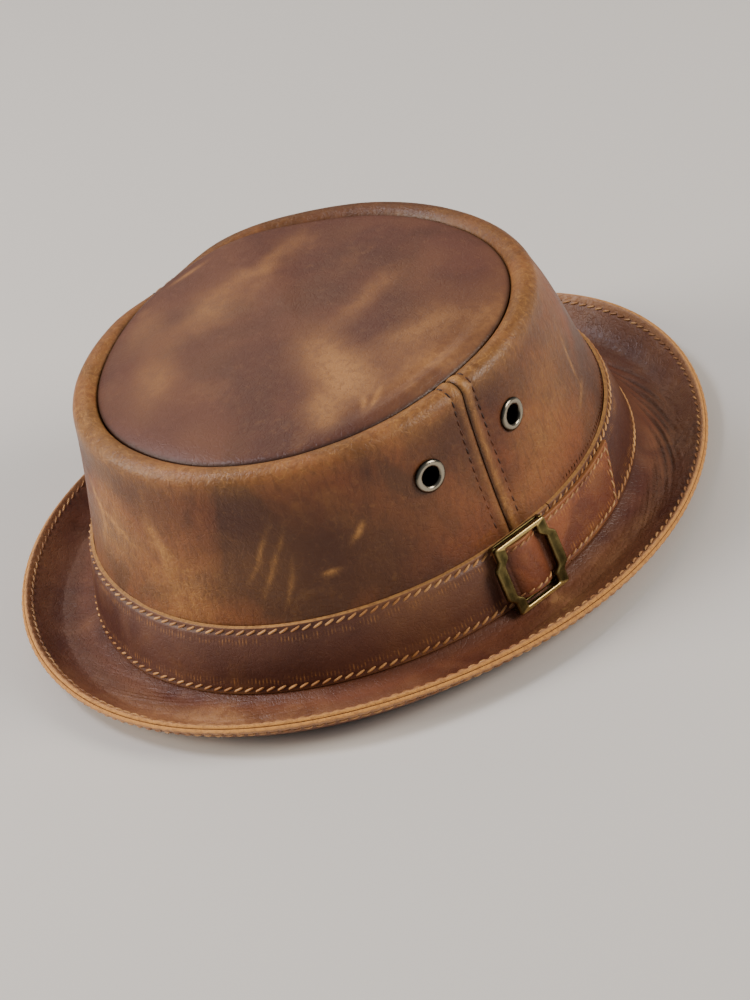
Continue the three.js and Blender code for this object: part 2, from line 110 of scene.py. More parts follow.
def facing_out(row, place):
    """Level direction square to the outline's plain ellipse: cosine times long, sine times wide."""
    angle = outline_angle(row, place)
    square = np.stack([np.cos(angle) * row["long"], np.sin(angle) * row["wide"], 0 * angle], -1)
    return square / np.linalg.norm(square, axis=-1, keepdims=True)


def outline_point(row, place, out=0.0):
    """Superellipse seen from above, narrowed by egg, with a height that waves round the hat."""
    angle = outline_angle(row, place)
    cos, sin = np.cos(angle), np.sin(angle)
    bend = 2 / row["square"]
    x = np.sign(cos) * np.abs(cos) ** bend * row["wide"] * (1 + row["egg"] * sin)
    y = np.sign(sin) * np.abs(sin) ** bend * row["long"] + row["middle"]
    wave = row["cross"] + row["twist"] * sin
    z = row["height"] + row["tilt"] * sin + wave * np.cos(2 * angle)
    return np.stack([x, y, z], -1) + facing_out(row, place) * out


def near(mark, place):
    """1 at the mark's angle, fading as e to the minus square of the turn over its width."""
    away = (np.degrees(place) - mark["at"] + 180) % 360 - 180
    return np.exp(-(away / mark["width"]) ** 2)


def rim_point(place, out=0.0):
    """The rim's outline, raised by the swell that the roll and the tip both follow."""
    rise = RIM_SWELL["rise"] * near(RIM_SWELL, place)
    return outline_point(OUTLINES["rim"], place, out) + UP * rise[..., None]


def crown_surface(place, wall_shares, roll_steps, down_steps):
    """Rows of points up the wall, over the roll and down inside, and the direction square to each.

    The wall is the parabola through foot, waist and shoulder. The shoulder lies on the roll
    at the angle where the wall leans, so the two meet without a kink.
    """
    foot = outline_point(OUTLINES["base"], place, -CROWN_BEHIND_BAND)
    waist = outline_point(OUTLINES["band_top"], place, -CROWN_BEHIND_BAND)
    centre = rim_point(place) + UP * (RIM_SAG["rise"] * near(RIM_SAG, place))[..., None]
    facing = facing_out(OUTLINES["rim"], place)

    def on_roll(turn):
        return facing * np.cos(turn)[..., None] + UP * np.sin(turn)[..., None]

    def wall(v, shoulder):
        below = np.linalg.norm(foot - waist, axis=-1)
        above = np.linalg.norm(waist - shoulder, axis=-1)
        s = (below / (below + above))[..., None]
        return (foot * (v - s) * (v - 1) / s + waist * v * (v - 1) / (s * (s - 1))
                + shoulder * v * (v - s) / (1 - s))

    lean = 0 * place
    for _ in range(4):
        shoulder = centre + ROLL_RADIUS * on_roll(lean)
        slope = wall(1, shoulder) - wall(0.98, shoulder)
        lean = np.arctan2(-(slope * facing).sum(-1), slope[..., 2])
    shoulder = centre + ROLL_RADIUS * on_roll(lean)
    points = [wall(v, shoulder) for v in wall_shares]
    square = [on_roll(lean * v) for v in wall_shares]
    for turn in np.linspace(0, 1, roll_steps + 1)[1:]:
        direction = on_roll(lean + (np.pi - lean) * turn)
        points.append(centre + ROLL_RADIUS * direction)
        square.append(direction)
    for down in np.linspace(0, ROLL_TURN_IN, down_steps + 1)[1:]:
        points.append(centre - facing * ROLL_RADIUS - UP * down)
        square.append(-facing)
    return np.array(points), np.array(square)


def lattice_noise(points, size, seed):
    """Random values on a cubic lattice of this cell size, blended between corners by a smooth step."""
    values = np.random.default_rng(seed).uniform(-1, 1, 4096)
    cell = np.floor(points / size).astype(np.int64)
    part = points / size - cell
    part = part * part * (3 - 2 * part)
    total = np.zeros(points.shape[:-1])
    for corner in np.ndindex(2, 2, 2):
        at = cell + corner
        mixed = at[..., 0] * 73856093 ^ at[..., 1] * 19349663 ^ at[..., 2] * 83492791
        weight = np.where(corner, part, 1 - part).prod(-1)
        total += values[mixed & 4095] * weight
    return total


def bump(distance, width):
    """Bell curve of height 1: e to the minus square of distance over width."""
    return np.exp(-(distance / width) ** 2)


def smooth(value, low, high):
    """Rises smoothly from 0 at low to 1 at high."""
    share = np.clip((value - low) / (high - low), 0, 1)
    return share * share * (3 - 2 * share)


def edge_round(distance, radius):
    """How far a face sinks near a cut edge whose corner is worn to a quarter circle."""
    left = np.clip(radius - distance, 0, radius)
    return radius - np.sqrt(radius ** 2 - left ** 2)


def link_piece(name, points, faces, fields=None, along=None, sharp=50):
    """Makes a mesh object of points in millimetres, with one number a point for each field."""
    used = np.zeros(len(points), bool)
    used[faces.ravel()] = True
    renumber = np.cumsum(used) - 1
    mesh = bpy.data.meshes.new(name)
    mesh.from_pydata((points[used] * MM).tolist(), [], renumber[faces].tolist())
    for field, values in (fields or {}).items():
        stored = mesh.attributes.new(field, "FLOAT", "POINT")
        stored.data.foreach_set("value", np.asarray(values)[used].astype(np.float32))
    if along is not None:
        layer = mesh.uv_layers.new(name="along")
        corners = renumber[faces].ravel()
        layer.data.foreach_set("uv", (along[used][corners] * MM).astype(np.float32).ravel())
    mesh.shade_smooth()
    mesh.set_sharp_from_angle(angle=np.radians(sharp))
    made = bpy.data.objects.new(name, mesh)
    bpy.context.scene.collection.objects.link(made)
    return made


def sheet_faces(shape, wrap=False, keep=None, cap=False):
    """Faces of a closed sheet between an outer and an inner grid of the same shape.

    Every border edge of the kept cells, round holes too, gets a wall from face to face. A
    cap closes the last row of a round sheet by strips from side to side.
    """
    rows, columns = shape
    count = rows * columns
    index = np.arange(count).reshape(rows, columns)
    if wrap:
        index = np.concatenate([index, index[:, :1]], axis=1)
    cells = np.stack([index[:-1, :-1], index[:-1, 1:], index[1:, 1:], index[1:, :-1]], -1)
    cells = cells.reshape(-1, 4) if keep is None else cells[keep]
    if cap:
        last = index[-1, :columns]
        half = columns // 2
        strips = [last[:half - 1], last[1:half], last[::-1][1:half], last[::-1][:half - 1]]
        cells = np.concatenate([cells, np.stack(strips, -1)])
    edges = np.concatenate([cells[:, [k, (k + 1) % 4]] for k in range(4)])
    border = edges[~np.isin(edges[:, 0] * count + edges[:, 1], edges[:, 1] * count + edges[:, 0])]
    walls = np.stack([border[:, 1], border[:, 0], border[:, 0] + count, border[:, 1] + count], -1)
    return np.concatenate([cells, cells[:, ::-1] + count, walls])


def leather_sheet(name, outer, inner, fields, along=None, sharp=50, **closing):
    """A closed sheet from the grids of its outer and inner face. Each field is a pair of grids
    or numbers from 0 to 1 for the two faces, and closing says how sheet_faces joins them."""
    shape = outer.shape[:2]
    values = {title: np.clip(np.concatenate([(part + np.zeros(shape)).ravel() for part in pair]), 0, 1)
              for title, pair in fields.items()}
    points = np.concatenate([outer.reshape(-1, 3), inner.reshape(-1, 3)])
    return link_piece(name, points, sheet_faces(shape, **closing), values, along, sharp)


def linear(hex_colour):
    """An sRGB hex colour as linear red, green, blue and full alpha."""
    parts = np.array([int(hex_colour[k:k + 2], 16) for k in (1, 3, 5)]) / 255
    low = parts / 12.92
    high = ((parts + 0.055) / 1.055) ** 2.4
    return (*np.where(parts <= 0.04045, low, high).tolist(), 1.0)


def put(tree, kind, inputs=None, out=0, **settings):
    """Adds one shader node and gives its output by number or name: settings are its properties,
    inputs its sockets by name or number, each a value or the output of another node."""
    made = tree.nodes.new("ShaderNode" + kind)
    for name, value in settings.items():
        setattr(made, name, value)
    for name, value in (inputs or {}).items():
        if isinstance(value, bpy.types.NodeSocket):
            tree.links.new(value, made.inputs[name])
        else:
            made.inputs[name].default_value = value
    return made.outputs[out] if made.outputs else made


def new_material(name):
    """An empty material, its tree of nodes and the Object coordinates that its patterns read."""
    material = bpy.data.materials.new(name)
    material.use_nodes = True
    material.node_tree.nodes.clear()
    return material, material.node_tree, put(material.node_tree, "TexCoord", out="Object")


# The hide's noises: size in millimetres, detail, roughness and distortion
HIDE_NOISES = {
    "specks": (3.2, 6, 0.72, 0.4),
    "wrinkles": (3.0, 4, 0.6, 1.0),
    "hollows": (10, 3, 0.5, 0.5),
    "fibres": (1.3, 3, 0.5, 0.0),
    "gaps": (2.4, 3, 0.6, 0.0),
}
# Sizes in millimetres: cells of the crackle in rubbed wax, of the pebbled grain and of the
# pores, then upright streaks where the wall was stretched, and the bends of the cell walls
CRACKLE_SIZE = 4.2
PEBBLE_SIZE = 2.1
PORE_SIZE = 1.2
STRETCH_SIZE = 1.7
STRETCH_SQUASH = 0.33
WOBBLE_SIZE = 6
WOBBLE_REACH = 5 * MM
# Painted shade: the near-black colour, and how far it is mixed in, that stand in for shade in grooves,
# creases, recesses and under other parts
PAINTED_SHADE_COLOUR = "#140a06"
PAINTED_SHADE_COVER = 0.78
# Settings that many nodes share
TIMES = dict(operation="MULTIPLY", use_clamp=True)
PLUS = dict(operation="ADD", use_clamp=True)
MINUS = dict(operation="SUBTRACT", use_clamp=True)
COLOURS = dict(out=2, data_type="RGBA")


def oiled_leather(name, deep, middle, light, raw, rough=0.5, cloud_mm=38, mottle=0.3, wrinkles=0.4,
                  grain=0.3, crackle=0.4, streaks=0.0, feed_pitch=None):
    """Pull-up leather: waxed hide that pales where it is bent or rubbed.

    Clouds of deep, middle and light brown under a fine mottling, a pale crackle where it is
    rubbed, and pores and wrinkles in the bump. Streaks is the share of upright stretch grain.
    Reads the fields rub_and_sheen (pale: rubbing, and in places a painted sheen), dark_wax_and_shade
    (deep: dark wax, and on the crown's far roll painted shade), painted_shade (near black: painted
    shade in grooves, creases, recesses and under other parts) and raw (cut edge) of the piece, and
    with a pitch for the sewing machine's feed marks, feed and the distance along it.
    """
    material, tree, place = new_material(name)
    rub_and_sheen, dark_wax_and_shade, painted_shade, edge = [put(tree, "Attribute", out="Fac", attribute_name=title)
                             for title in ("rub_and_sheen", "dark_wax_and_shade", "painted_shade", "raw")]
    noises = {"clouds": (cloud_mm, 4, 0.55, 0.8), "patches": (cloud_mm * 0.4, 5, 0.6, 0.5), **HIDE_NOISES}
    pattern = {title: put(tree, "TexNoise", {
        "Vector": place, "Scale": 1 / (size * MM), "Detail": detail, "Roughness": coarse,
        "Distortion": bend}) for title, (size, detail, coarse, bend) in noises.items()}
    upright = put(tree, "Mapping", {"Vector": place, "Scale": (1, 1, STRETCH_SQUASH)})
    pattern["stretch"] = put(tree, "TexNoise", {
        "Vector": upright, "Scale": 1 / (STRETCH_SIZE * MM), "Detail": 3, "Roughness": 0.55,
        "Distortion": 0.6})
    wobble = put(tree, "TexNoise", {"Vector": place, "Scale": 1 / (WOBBLE_SIZE * MM), "Detail": 3},
                 out="Color")
    shifted = put(tree, "VectorMath", {0: wobble, 1: (WOBBLE_REACH,) * 3, 2: place},
                  operation="MULTIPLY_ADD")
    for title, size in (("cracks", CRACKLE_SIZE), ("pebbles", PEBBLE_SIZE)):
        pattern[title] = put(tree, "TexVoronoi", {"Vector": shifted, "Scale": 1 / (size * MM)},
                             out="Distance", feature="DISTANCE_TO_EDGE")
    pattern["pores"] = put(tree, "TexVoronoi", {"Vector": place, "Scale": 1 / (PORE_SIZE * MM)},
                           out="Distance")
    pattern["rub_and_sheen"] = rub_and_sheen
    # Each share runs smoothly between two heights of a pattern, from its start to its end
    ramps = {
        "settled": ("clouds", 0.34, 0.64, 0, 1),
        "flecked": ("specks", 0.34, 0.64, 0.55, 1.2),
        "patched": ("patches", 0.54, 0.76, 0, 0.15),
        "mottled": ("specks", 0.48, 0.7, 0, mottle),
        "bloomed": ("specks", 0.46, 0.3, 0, mottle * 0.4),
        "streaked": ("stretch", 0.46, 0.66, 0, streaks),
        "cracked": ("cracks", 0.05, 0, 0, 1),
        "worn": ("rub_and_sheen", 0.05, 0.5, 0.1 * crackle, 0.7 * crackle),
        "broken": ("specks", 0.42, 0.6, 0.2, 1),
        "frayed": ("fibres", 0.4, 0.75, 0, 0.5),
        "faint": ("gaps", 0.42, 0.62, 0.05, 0.75),
        "waxed": ("clouds", 0.3, 0.7, rough - 0.06, rough + 0.06),
        "dulled": ("specks", 0.35, 0.65, 0, 0.08),
        "pebbled": ("pebbles", 0, 0.14, 0, 1),
    }
    share = {title: put(tree, "MapRange", {0: pattern[source], 1: low, 2: high, 3: start, 4: end},
                        interpolation_type="SMOOTHSTEP")
             for title, (source, low, high, start, end) in ramps.items()}
    cracks = put(tree, "Math", {0: share["cracked"], 1: share["worn"]}, **TIMES)
    cracks = put(tree, "Math", {0: cracks, 1: share["broken"]}, **TIMES)
    settled = put(tree, "Math", {0: share["settled"], 1: dark_wax_and_shade}, **MINUS)
    pale = put(tree, "Math", {0: rub_and_sheen, 1: share["flecked"]}, **TIMES)
    pale = put(tree, "Math", {0: pale, 1: share["patched"]}, **PLUS)
    pale = put(tree, "Math", {0: pale, 1: cracks}, **PLUS)
    colour = linear(deep)
    for amount, tone in ((settled, middle), (pale, light),
                         (share["mottled"], deep), (share["bloomed"], light)):
        colour = put(tree, "Mix", {0: amount, 6: colour, 7: linear(tone)}, **COLOURS)
    if streaks:
        colour = put(tree, "Mix", {0: share["streaked"], 6: colour, 7: linear(deep)}, **COLOURS)
    # Painted shade: where its field is high, the colour goes most of the way to near black
    shade_tint = put(tree, "Mix", {0: PAINTED_SHADE_COVER, 6: colour, 7: linear(PAINTED_SHADE_COLOUR)}, **COLOURS)
    colour = put(tree, "Mix", {0: painted_shade, 6: colour, 7: shade_tint}, **COLOURS)
    cut = put(tree, "Mix", {0: share["frayed"], 6: linear(raw), 7: linear(middle)}, **COLOURS)
    colour = put(tree, "Mix", {0: edge, 6: colour, 7: cut}, **COLOURS)
    if feed_pitch:
        fed = put(tree, "Attribute", out="Fac", attribute_name="feed")
        run = put(tree, "SeparateXYZ", {0: put(tree, "UVMap", out="UV", uv_map="along")})
        turn = put(tree, "Math", {0: run, 1: 2 * np.pi / (feed_pitch * MM)}, operation="MULTIPLY")
        teeth = put(tree, "Math", {0: turn}, operation="SINE")
        teeth = put(tree, "MapRange", {0: teeth, 1: 0, 2: 0.9}, interpolation_type="SMOOTHSTEP")
        marks = put(tree, "Math", {0: teeth, 1: fed}, **TIMES)
        marks = put(tree, "Math", {0: marks, 1: share["faint"]}, **TIMES)
        colour = put(tree, "Mix", {0: marks, 6: colour, 7: linear(light)}, **COLOURS)
    shine = put(tree, "Math", {0: share["waxed"], 1: share["dulled"]}, **PLUS)
    shine = put(tree, "Math", {0: shine, 1: put(tree, "Math", {0: edge, 1: 0.3}, **TIMES)}, **PLUS)
    # Bumps one over the other: pattern, strength and depth in metres
    relief = {}
    for height, strength, depth in (
            (pattern["pores"], 0.35, 0.0001), (share["pebbled"], grain, 0.00012),
            (pattern["wrinkles"], wrinkles, 0.0004), (pattern["hollows"], wrinkles * 0.6, 0.001),
            (pattern["stretch"], streaks, 0.0004)):
        if strength:
            relief = {"Normal": put(tree, "Bump", {
                "Height": height, "Strength": strength, "Distance": depth, **relief})}
    shader = put(tree, "BsdfPrincipled", {"Base Color": colour, "Roughness": shine, "IOR": 1.47, **relief})
    put(tree, "OutputMaterial", {"Surface": shader})
    return material


def finish_piece(made, node, material):
    """Gives a piece its material, puts it on the hat's one body and in its CAD solid's place."""
    made.data.materials.append(material)
    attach(made, "root")
    if node:
        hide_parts(node)


# Scuffs on the crown's wall: millimetres round it from the wearer's left and height of the
# middle, half length, half width, turn in degrees and strength
CROWN_SCUFFS = [
    dict(x=-50, y=53.7, long=2.4, wide=1.1, turn=50, strength=0.9),
    dict(x=-62, y=42.6, long=3.4, wide=0.9, turn=10, strength=1.0),
    dict(x=52, y=52, long=8, wide=0.8, turn=76, strength=0.6),
    dict(x=48, y=40, long=6, wide=0.8, turn=18, strength=0.4),
    dict(x=-84, y=52, long=9, wide=0.8, turn=62, strength=0.4),
    dict(x=-80, y=48, long=10, wide=0.8, turn=66, strength=0.4),
    dict(x=-76, y=41, long=7, wide=0.8, turn=70, strength=0.35),
    dict(x=-155, y=57, long=8, wide=0.8, turn=-29, strength=0.7),
    dict(x=-147, y=53, long=13, wide=0.8, turn=-24, strength=0.7),
    dict(x=-122, y=53, long=10, wide=3, turn=-74, strength=0.5),
    dict(x=-152, y=49, long=9, wide=1, turn=80, strength=0.45),
    dict(x=-116, y=36, long=17, wide=12, turn=80, strength=0.35),
    dict(x=-145, y=50, long=22, wide=15, turn=90, strength=0.33),
    dict(x=24, y=44, long=24, wide=14, turn=40, strength=0.25),
    dict(x=120, y=48, long=20, wide=12, turn=30, strength=0.3),
    dict(x=-210, y=44, long=20, wide=12, turn=150, strength=0.25),
]
# Where the wax has stayed dark, in the same columns
CROWN_DUSK = [
    dict(x=-76, y=56, long=34, wide=20, turn=0, strength=0.9),
    dict(x=-42, y=44, long=24, wide=18, turn=0, strength=0.6),
    dict(x=-66, y=36, long=26, wide=9, turn=0, strength=0.5),
    dict(x=-130, y=66, long=18, wide=8, turn=0, strength=0.3),
    dict(x=170, y=50, long=40, wide=20, turn=0, strength=0.5),
]


def rubbed(marks, x, y):
    """Sum of soft ellipses: each is its strength times e to the minus square of the distance
    along and across its turn, over its half length and half width."""
    total = 0 * x
    for mark in marks:
        turn = np.radians(mark["turn"])
        away, above = x - mark["x"], y - mark["y"]
        along = (away * np.cos(turn) + above * np.sin(turn)) / mark["long"]
        across = (above * np.cos(turn) - away * np.sin(turn)) / mark["wide"]
        total = total + mark["strength"] * np.exp(-along ** 2 - across ** 2)
    return total


def crown_relief(points, from_seam, share, roll):
    """What the hide and the seam add to the plain wall: soft hollows, and beside the seam a
    groove, a pressed ridge and the pull of the stitches."""
    free = smooth(share, 0.0, 0.25) * (1 - 0.6 * smooth(share, 0.86, 1.0))
    soft = 0.5 * lattice_noise(points, 34, 3) + 0.2 * lattice_noise(points, 13, 4)
    soft += 0.06 * lattice_noise(points, 5, 5)
    seam = (0.25 * roll - 0.7) * bump(from_seam, 0.6) + 0.22 * bump(from_seam - 1.5, 0.9)
    seam -= 0.3 * bump(from_seam - SEAM_STITCH_OUT, 0.6)
    return soft * free * (1 - bump(from_seam, 6)) + seam


def vent_height(place):
    """Height of the vents: a share of the way from the band's top to the shoulder."""
    low = outline_point(OUTLINES["band_top"], place)[..., 2]
    shoulder = crown_surface(place, [1.0], 1, 0)[0][0][..., 2]
    return low + (shoulder - low) * VENT_SHARE


def vent_frame(place):
    """Middle of a vent on the wall and its own right, level and outward directions."""
    shares = np.linspace(0.3, 1, 400)
    here = np.array([place])
    column = crown_surface(here, shares, 1, 0)[0][:len(shares), 0]
    row = np.argmin(np.abs(column[:, 2] - vent_height(here)[0]))
    beside = crown_surface(np.array([place - 0.01, place + 0.01]), [shares[row]], 1, 0)[0][0]
    right = beside[1] - beside[0]
    right /= np.linalg.norm(right)
    up = column[row + 1] - column[row - 1]
    out = np.cross(right, up)
    out /= np.linalg.norm(out)
    return column[row], right, np.cross(out, right), out


def crown_panel(name, start, end, ridge_rub):
    """One panel between two seams: columns close together beside the seams, holes for vents."""
    beside = np.array(BESIDE_SEAM) / CROWN_RADIUS
    even = EVEN_FROM / CROWN_RADIUS
    inside = np.linspace(start + even, end - even, PANEL_COLUMNS)
    place = np.concatenate([start + beside, inside, (end - beside)[::-1]])
    walls = np.linspace(0, 1, WALL_ROWS)
    points, square = crown_surface(place, walls, ROLL_ROWS, MARGIN_ROWS)
    share = np.concatenate([walls, np.ones(ROLL_ROWS + MARGIN_ROWS)])[:, None]
    row = np.arange(len(points))[:, None]
    roll = smooth(row, *ROLL_BLEND)
    from_seam = np.minimum(place - start, end - place) * np.hypot(points[..., 0], points[..., 1])
    outer = points + square * crown_relief(points, from_seam, share, roll)[..., None]
    inner = points - square * CROWN_LEATHER
    centres = (outer[:-1, :-1] + outer[1:, 1:]) / 2
    keep = np.ones(centres.shape[:2], bool)
    for angle in VENTS.values():
        keep &= np.linalg.norm(centres - vent_frame(angle)[0], axis=-1) > VENT_HOLE
    round_mm = ((np.degrees(place)[None, :] + 180) % 360 - 180) * MM_A_DEGREE
    wander = 2.0 * lattice_noise(points, 7, 9)
    rub_and_sheen = rubbed(CROWN_SCUFFS, round_mm + wander, points[..., 2] + 0.5 * wander) * (1 - roll)
    # Painted shade on the roll's far side, centred 125 degrees round: there the roll is drawn much less
    # pale and deeper brown
    shaded = near(dict(at=125, width=60), place)
    # The roll is drawn paler: partly the pull-up leather paling where it is bent, partly a painted
    # highlight; the seam's pressed ridges are paler too
    rub_and_sheen = rub_and_sheen + 0.06 + 0.38 * roll * (1 - 0.9 * shaded) + ridge_rub * bump(from_seam - 1.3, 1.1)
    rub_and_sheen = rub_and_sheen + 0.12 * lattice_noise(points, 16, 8)
    # Deeper brown: patches where the wax stayed dark, and painted shade on the far roll
    dark_wax_and_shade = rubbed(CROWN_DUSK, round_mm + 2 * wander, points[..., 2]) * (1 - 0.6 * roll)
    dark_wax_and_shade = dark_wax_and_shade * (1 - bump(from_seam, 4)) + 0.65 * roll * shaded
    # Painted shade, mixed towards near black: in the seam's groove, on the margin turned in under the tip,
    # behind the band, and as a painted shadow just above its top edge; the inner face gets a little too
    painted_shade = 0.95 * bump(from_seam, 0.5) + 0.55 * smooth(row, *MARGIN_BLEND)
    painted_shade = painted_shade + 0.3 * (1 - smooth(share, 0.30, 0.36))
    fields = {"rub_and_sheen": (rub_and_sheen, 0), "dark_wax_and_shade": (dark_wax_and_shade, 0), "painted_shade": (painted_shade, 0.3)}
    return leather_sheet(name, outer, inner, fields, keep=keep)


crown_leather = oiled_leather("oiled pull-up cowhide, crown", "#4a2614", "#7e4524", "#b88346", "#b98a55",
                              rough=0.43, cloud_mm=42, mottle=0.35, wrinkles=0.5, grain=0.42, crackle=0.6,
                              streaks=0.3)
crown_front = crown_panel("crown_front_panel", FAR_SEAM - 2 * np.pi, SEAM, 0.25)
crown_back = crown_panel("crown_back_panel", SEAM, FAR_SEAM, 0.45)
finish_piece(crown_front, "crown_side_front", crown_leather)
finish_piece(crown_back, "crown_side_back", crown_leather)

# Seam stitches
# Waxed thread in a lock stitch along both sides of each crown seam, which holds the
# pressed-open edges flat. Each stitch is a short bead whose ends dive into the leather.
THREAD_RADIUS = 0.5
SEAM_THREAD = 0.33
SEAM_THREAD_SUNK = 0.3
SEAM_STITCH_PITCH = 3.6
SEAM_WALL_ROWS = 60
SEAM_ROLL_ROWS = 12
SEAM_ROLL_SEWN = 8


def path_run(path):
    """Distance along a path at each of its points."""
    return np.concatenate([[0], np.cumsum(np.linalg.norm(np.diff(path, axis=0), axis=1))])


def at_distance(values, run, distance):
    """Points or directions given at distances along a path, read in between by straight lines."""
    return np.stack([np.interp(distance, run, values[:, k]) for k in range(3)], -1)


def stitch_row(path, square, pitch, length=1.14, slant=0.46, radius=THREAD_RADIUS, lift=0.1):
    """Points, faces and how far each point has sunk in its needle hole, from 0 to 1, for a row
    of stitches on a path with the surface's square directions.

    A stitch is a tube of six sides along a shallow arch, thin at both ends: it starts below
    the surface, rises by lift and crosses the row's line by slant times its length.
    """
    sides, rings = 6, 7
    run = path_run(path)
    count = int(run[-1] / pitch)
    step = run[-1] / count
    share = np.linspace(0, 1, rings)
    starts = (np.arange(count) + 0.5 * (1 - length))[:, None] * step
    distance = starts + share * step * length
    line = at_distance(path, run, distance)
    out = at_distance(square, run, distance)
    out /= np.linalg.norm(out, axis=-1, keepdims=True)
    tangent = np.gradient(line, axis=1)
    tangent /= np.linalg.norm(tangent, axis=-1, keepdims=True)
    across = np.cross(out, tangent)
    arch = np.sin(np.pi * share)[None, :, None]
    line = line + out * (radius * 1.25 * arch ** 0.6 + lift - radius * 1.1)
    line = line + across * ((share - 0.5) * slant * length * step)[None, :, None]
    turn = np.arange(sides) * 2 * np.pi / sides
    thick = (radius * (0.5 + 0.5 * arch ** 0.7))[..., None]
    ring = across[..., None, :] * np.cos(turn)[:, None] + out[..., None, :] * np.sin(turn)[:, None]
    points = (line[..., None, :] + ring * thick).reshape(-1, 3)
    grid = np.arange(rings * sides).reshape(rings, sides)
    ahead = np.roll(grid, -1, axis=1)
    tube = np.stack([grid[:-1], grid[1:], ahead[1:], ahead[:-1]], -1).reshape(-1, 4)
    ends = [grid[0][[0, 1, 2, 3]], grid[0][[0, 3, 4, 5]], grid[-1][[3, 2, 1, 0]], grid[-1][[5, 4, 3, 0]]]
    tube = np.concatenate([tube, np.array(ends)])
    faces = (tube[None] + (np.arange(count) * rings * sides)[:, None, None]).reshape(-1, 4)
    sunk = np.tile(np.repeat(smooth(np.abs(share - 0.5), 0.3, 0.5), sides), count)
    return points, faces, sunk


def stitches(name, rows, material):
    """One piece of thread from several rows of stitches."""
    points = np.concatenate([row[0] for row in rows])
    counts = np.cumsum([0] + [len(row[0]) for row in rows[:-1]])
    faces = np.concatenate([row[1] + first for row, first in zip(rows, counts)])
    sunk = np.concatenate([row[2] for row in rows])
    finish_piece(link_piece(name, points, faces, {"sunk": sunk}, sharp=80), None, material)


# Painted shade: the thread's ends are drawn near black where they sink into their needle holes
NEEDLE_HOLE_SHADE = "#1c0e07"
# How many twists of the plies and how many changes of tone a millimetre of thread has
THREAD_TWISTS = 1.4
THREAD_TONES = 0.09


def waxed_thread(name, colour, shade):
    """Bonded polyester thread, waxed: smooth, with a low sheen and the twist of its plies; its ends are
    painted dark as shade where they sink into the needle holes.
    """
    material, tree, place = new_material(name)
    twist = put(tree, "TexNoise", {"Vector": place, "Scale": THREAD_TWISTS / MM, "Detail": 2.0})
    tone = put(tree, "TexNoise", {"Vector": place, "Scale": THREAD_TONES / MM, "Detail": 1.0})
    tone = put(tree, "MapRange", {0: tone, 1: 0.35, 2: 0.65})
    tint = put(tree, "Mix", {0: tone, 6: linear(shade), 7: linear(colour)}, **COLOURS)
    sunk = put(tree, "Attribute", out="Fac", attribute_name="sunk")
    # Painted shade at the needle holes: the sunk ends are mixed to near black
    tint = put(tree, "Mix", {0: sunk, 6: tint, 7: linear(NEEDLE_HOLE_SHADE)}, **COLOURS)
    relief = put(tree, "Bump", {"Height": twist, "Strength": 0.5, "Distance": 0.0002})
    shader = put(tree, "BsdfPrincipled", {"Base Color": tint, "Roughness": 0.5, "Normal": relief})
    put(tree, "OutputMaterial", {"Surface": shader})
    return material


tan_thread = waxed_thread("waxed polyester thread, tan", "#d8a265", "#a66f3c")
rust_thread = waxed_thread("waxed polyester thread, rust tan", "#cc9a62", "#92613a")
brown_thread = waxed_thread("waxed polyester thread, brown", "#6e3a1c", "#351a0c")

seam_rows = []
for seam, side in ((SEAM, -1), (SEAM, 1), (FAR_SEAM, -1), (FAR_SEAM, 1)):
    shares = np.linspace(0.34, 1, SEAM_WALL_ROWS)
    centre_line = crown_surface(np.array([seam]), shares, SEAM_ROLL_ROWS, 0)[0][:, 0]
    width = np.hypot(centre_line[:, 0], centre_line[:, 1])
    place = seam + side * SEAM_STITCH_OUT / width
    points, square = crown_surface(place, shares, SEAM_ROLL_ROWS, 0)
    pick = np.arange(SEAM_WALL_ROWS + SEAM_ROLL_SEWN)
    out = square[pick, pick]
    seam_rows.append(stitch_row(points[pick, pick] - out * SEAM_THREAD_SUNK, out, SEAM_STITCH_PITCH,
                                length=0.85, slant=0.1, radius=SEAM_THREAD))
# Short ticks of the same thread close over the band, at the wearer's left and back
FOOT_STITCHES = dict(start=7, end=70, over=1.1, pitch=1.9, length=0.3, slant=2.6, radius=0.2)
foot_place = np.radians(np.linspace(FOOT_STITCHES["start"], FOOT_STITCHES["end"], 160))
foot_shares = np.linspace(0.25, 0.5, 120)
foot_points, foot_square = crown_surface(foot_place, foot_shares, 1, 0)
foot_level = outline_point(OUTLINES["band_top"], foot_place)[:, 2] + FOOT_STITCHES["over"]
foot_row = np.argmin(np.abs(foot_points[:len(foot_shares), :, 2] - foot_level), axis=0)
foot_column = np.arange(len(foot_place))
seam_rows.append(stitch_row(
    foot_points[foot_row, foot_column], foot_square[foot_row, foot_column], FOOT_STITCHES["pitch"],
    FOOT_STITCHES["length"], FOOT_STITCHES["slant"], FOOT_STITCHES["radius"]))
stitches("crown_seam_stitches", seam_rows, brown_thread)

# Tip
# An oval of the same oiled hide, darker and more rubbed. Its edge leans on the rim's
# roll, climbs over it at the far seam, and is sewn behind it to the turned-in margin.
TIP_LEATHER = 1.8
TIP_REACH = 5.0
TIP_LIP = dict(at=180, width=30, turn=25, climb=25, lift=1.2)
TIP_RISE = 4.4
TIP_CURVE = 2.6
TIP_TURN_DOWN = 3.2
TIP_PLACES = 340


def tip_lip(place, part):
    """How far inside the rim's outline and how high over it the lip is at a part of its turn."""
    far = near(TIP_LIP, place)
    turn = np.radians(TIP_LIP["turn"] + TIP_LIP["climb"] * far) * part
    return TIP_REACH * np.cos(turn), TIP_REACH * np.sin(turn) + TIP_LIP["lift"] * far * part


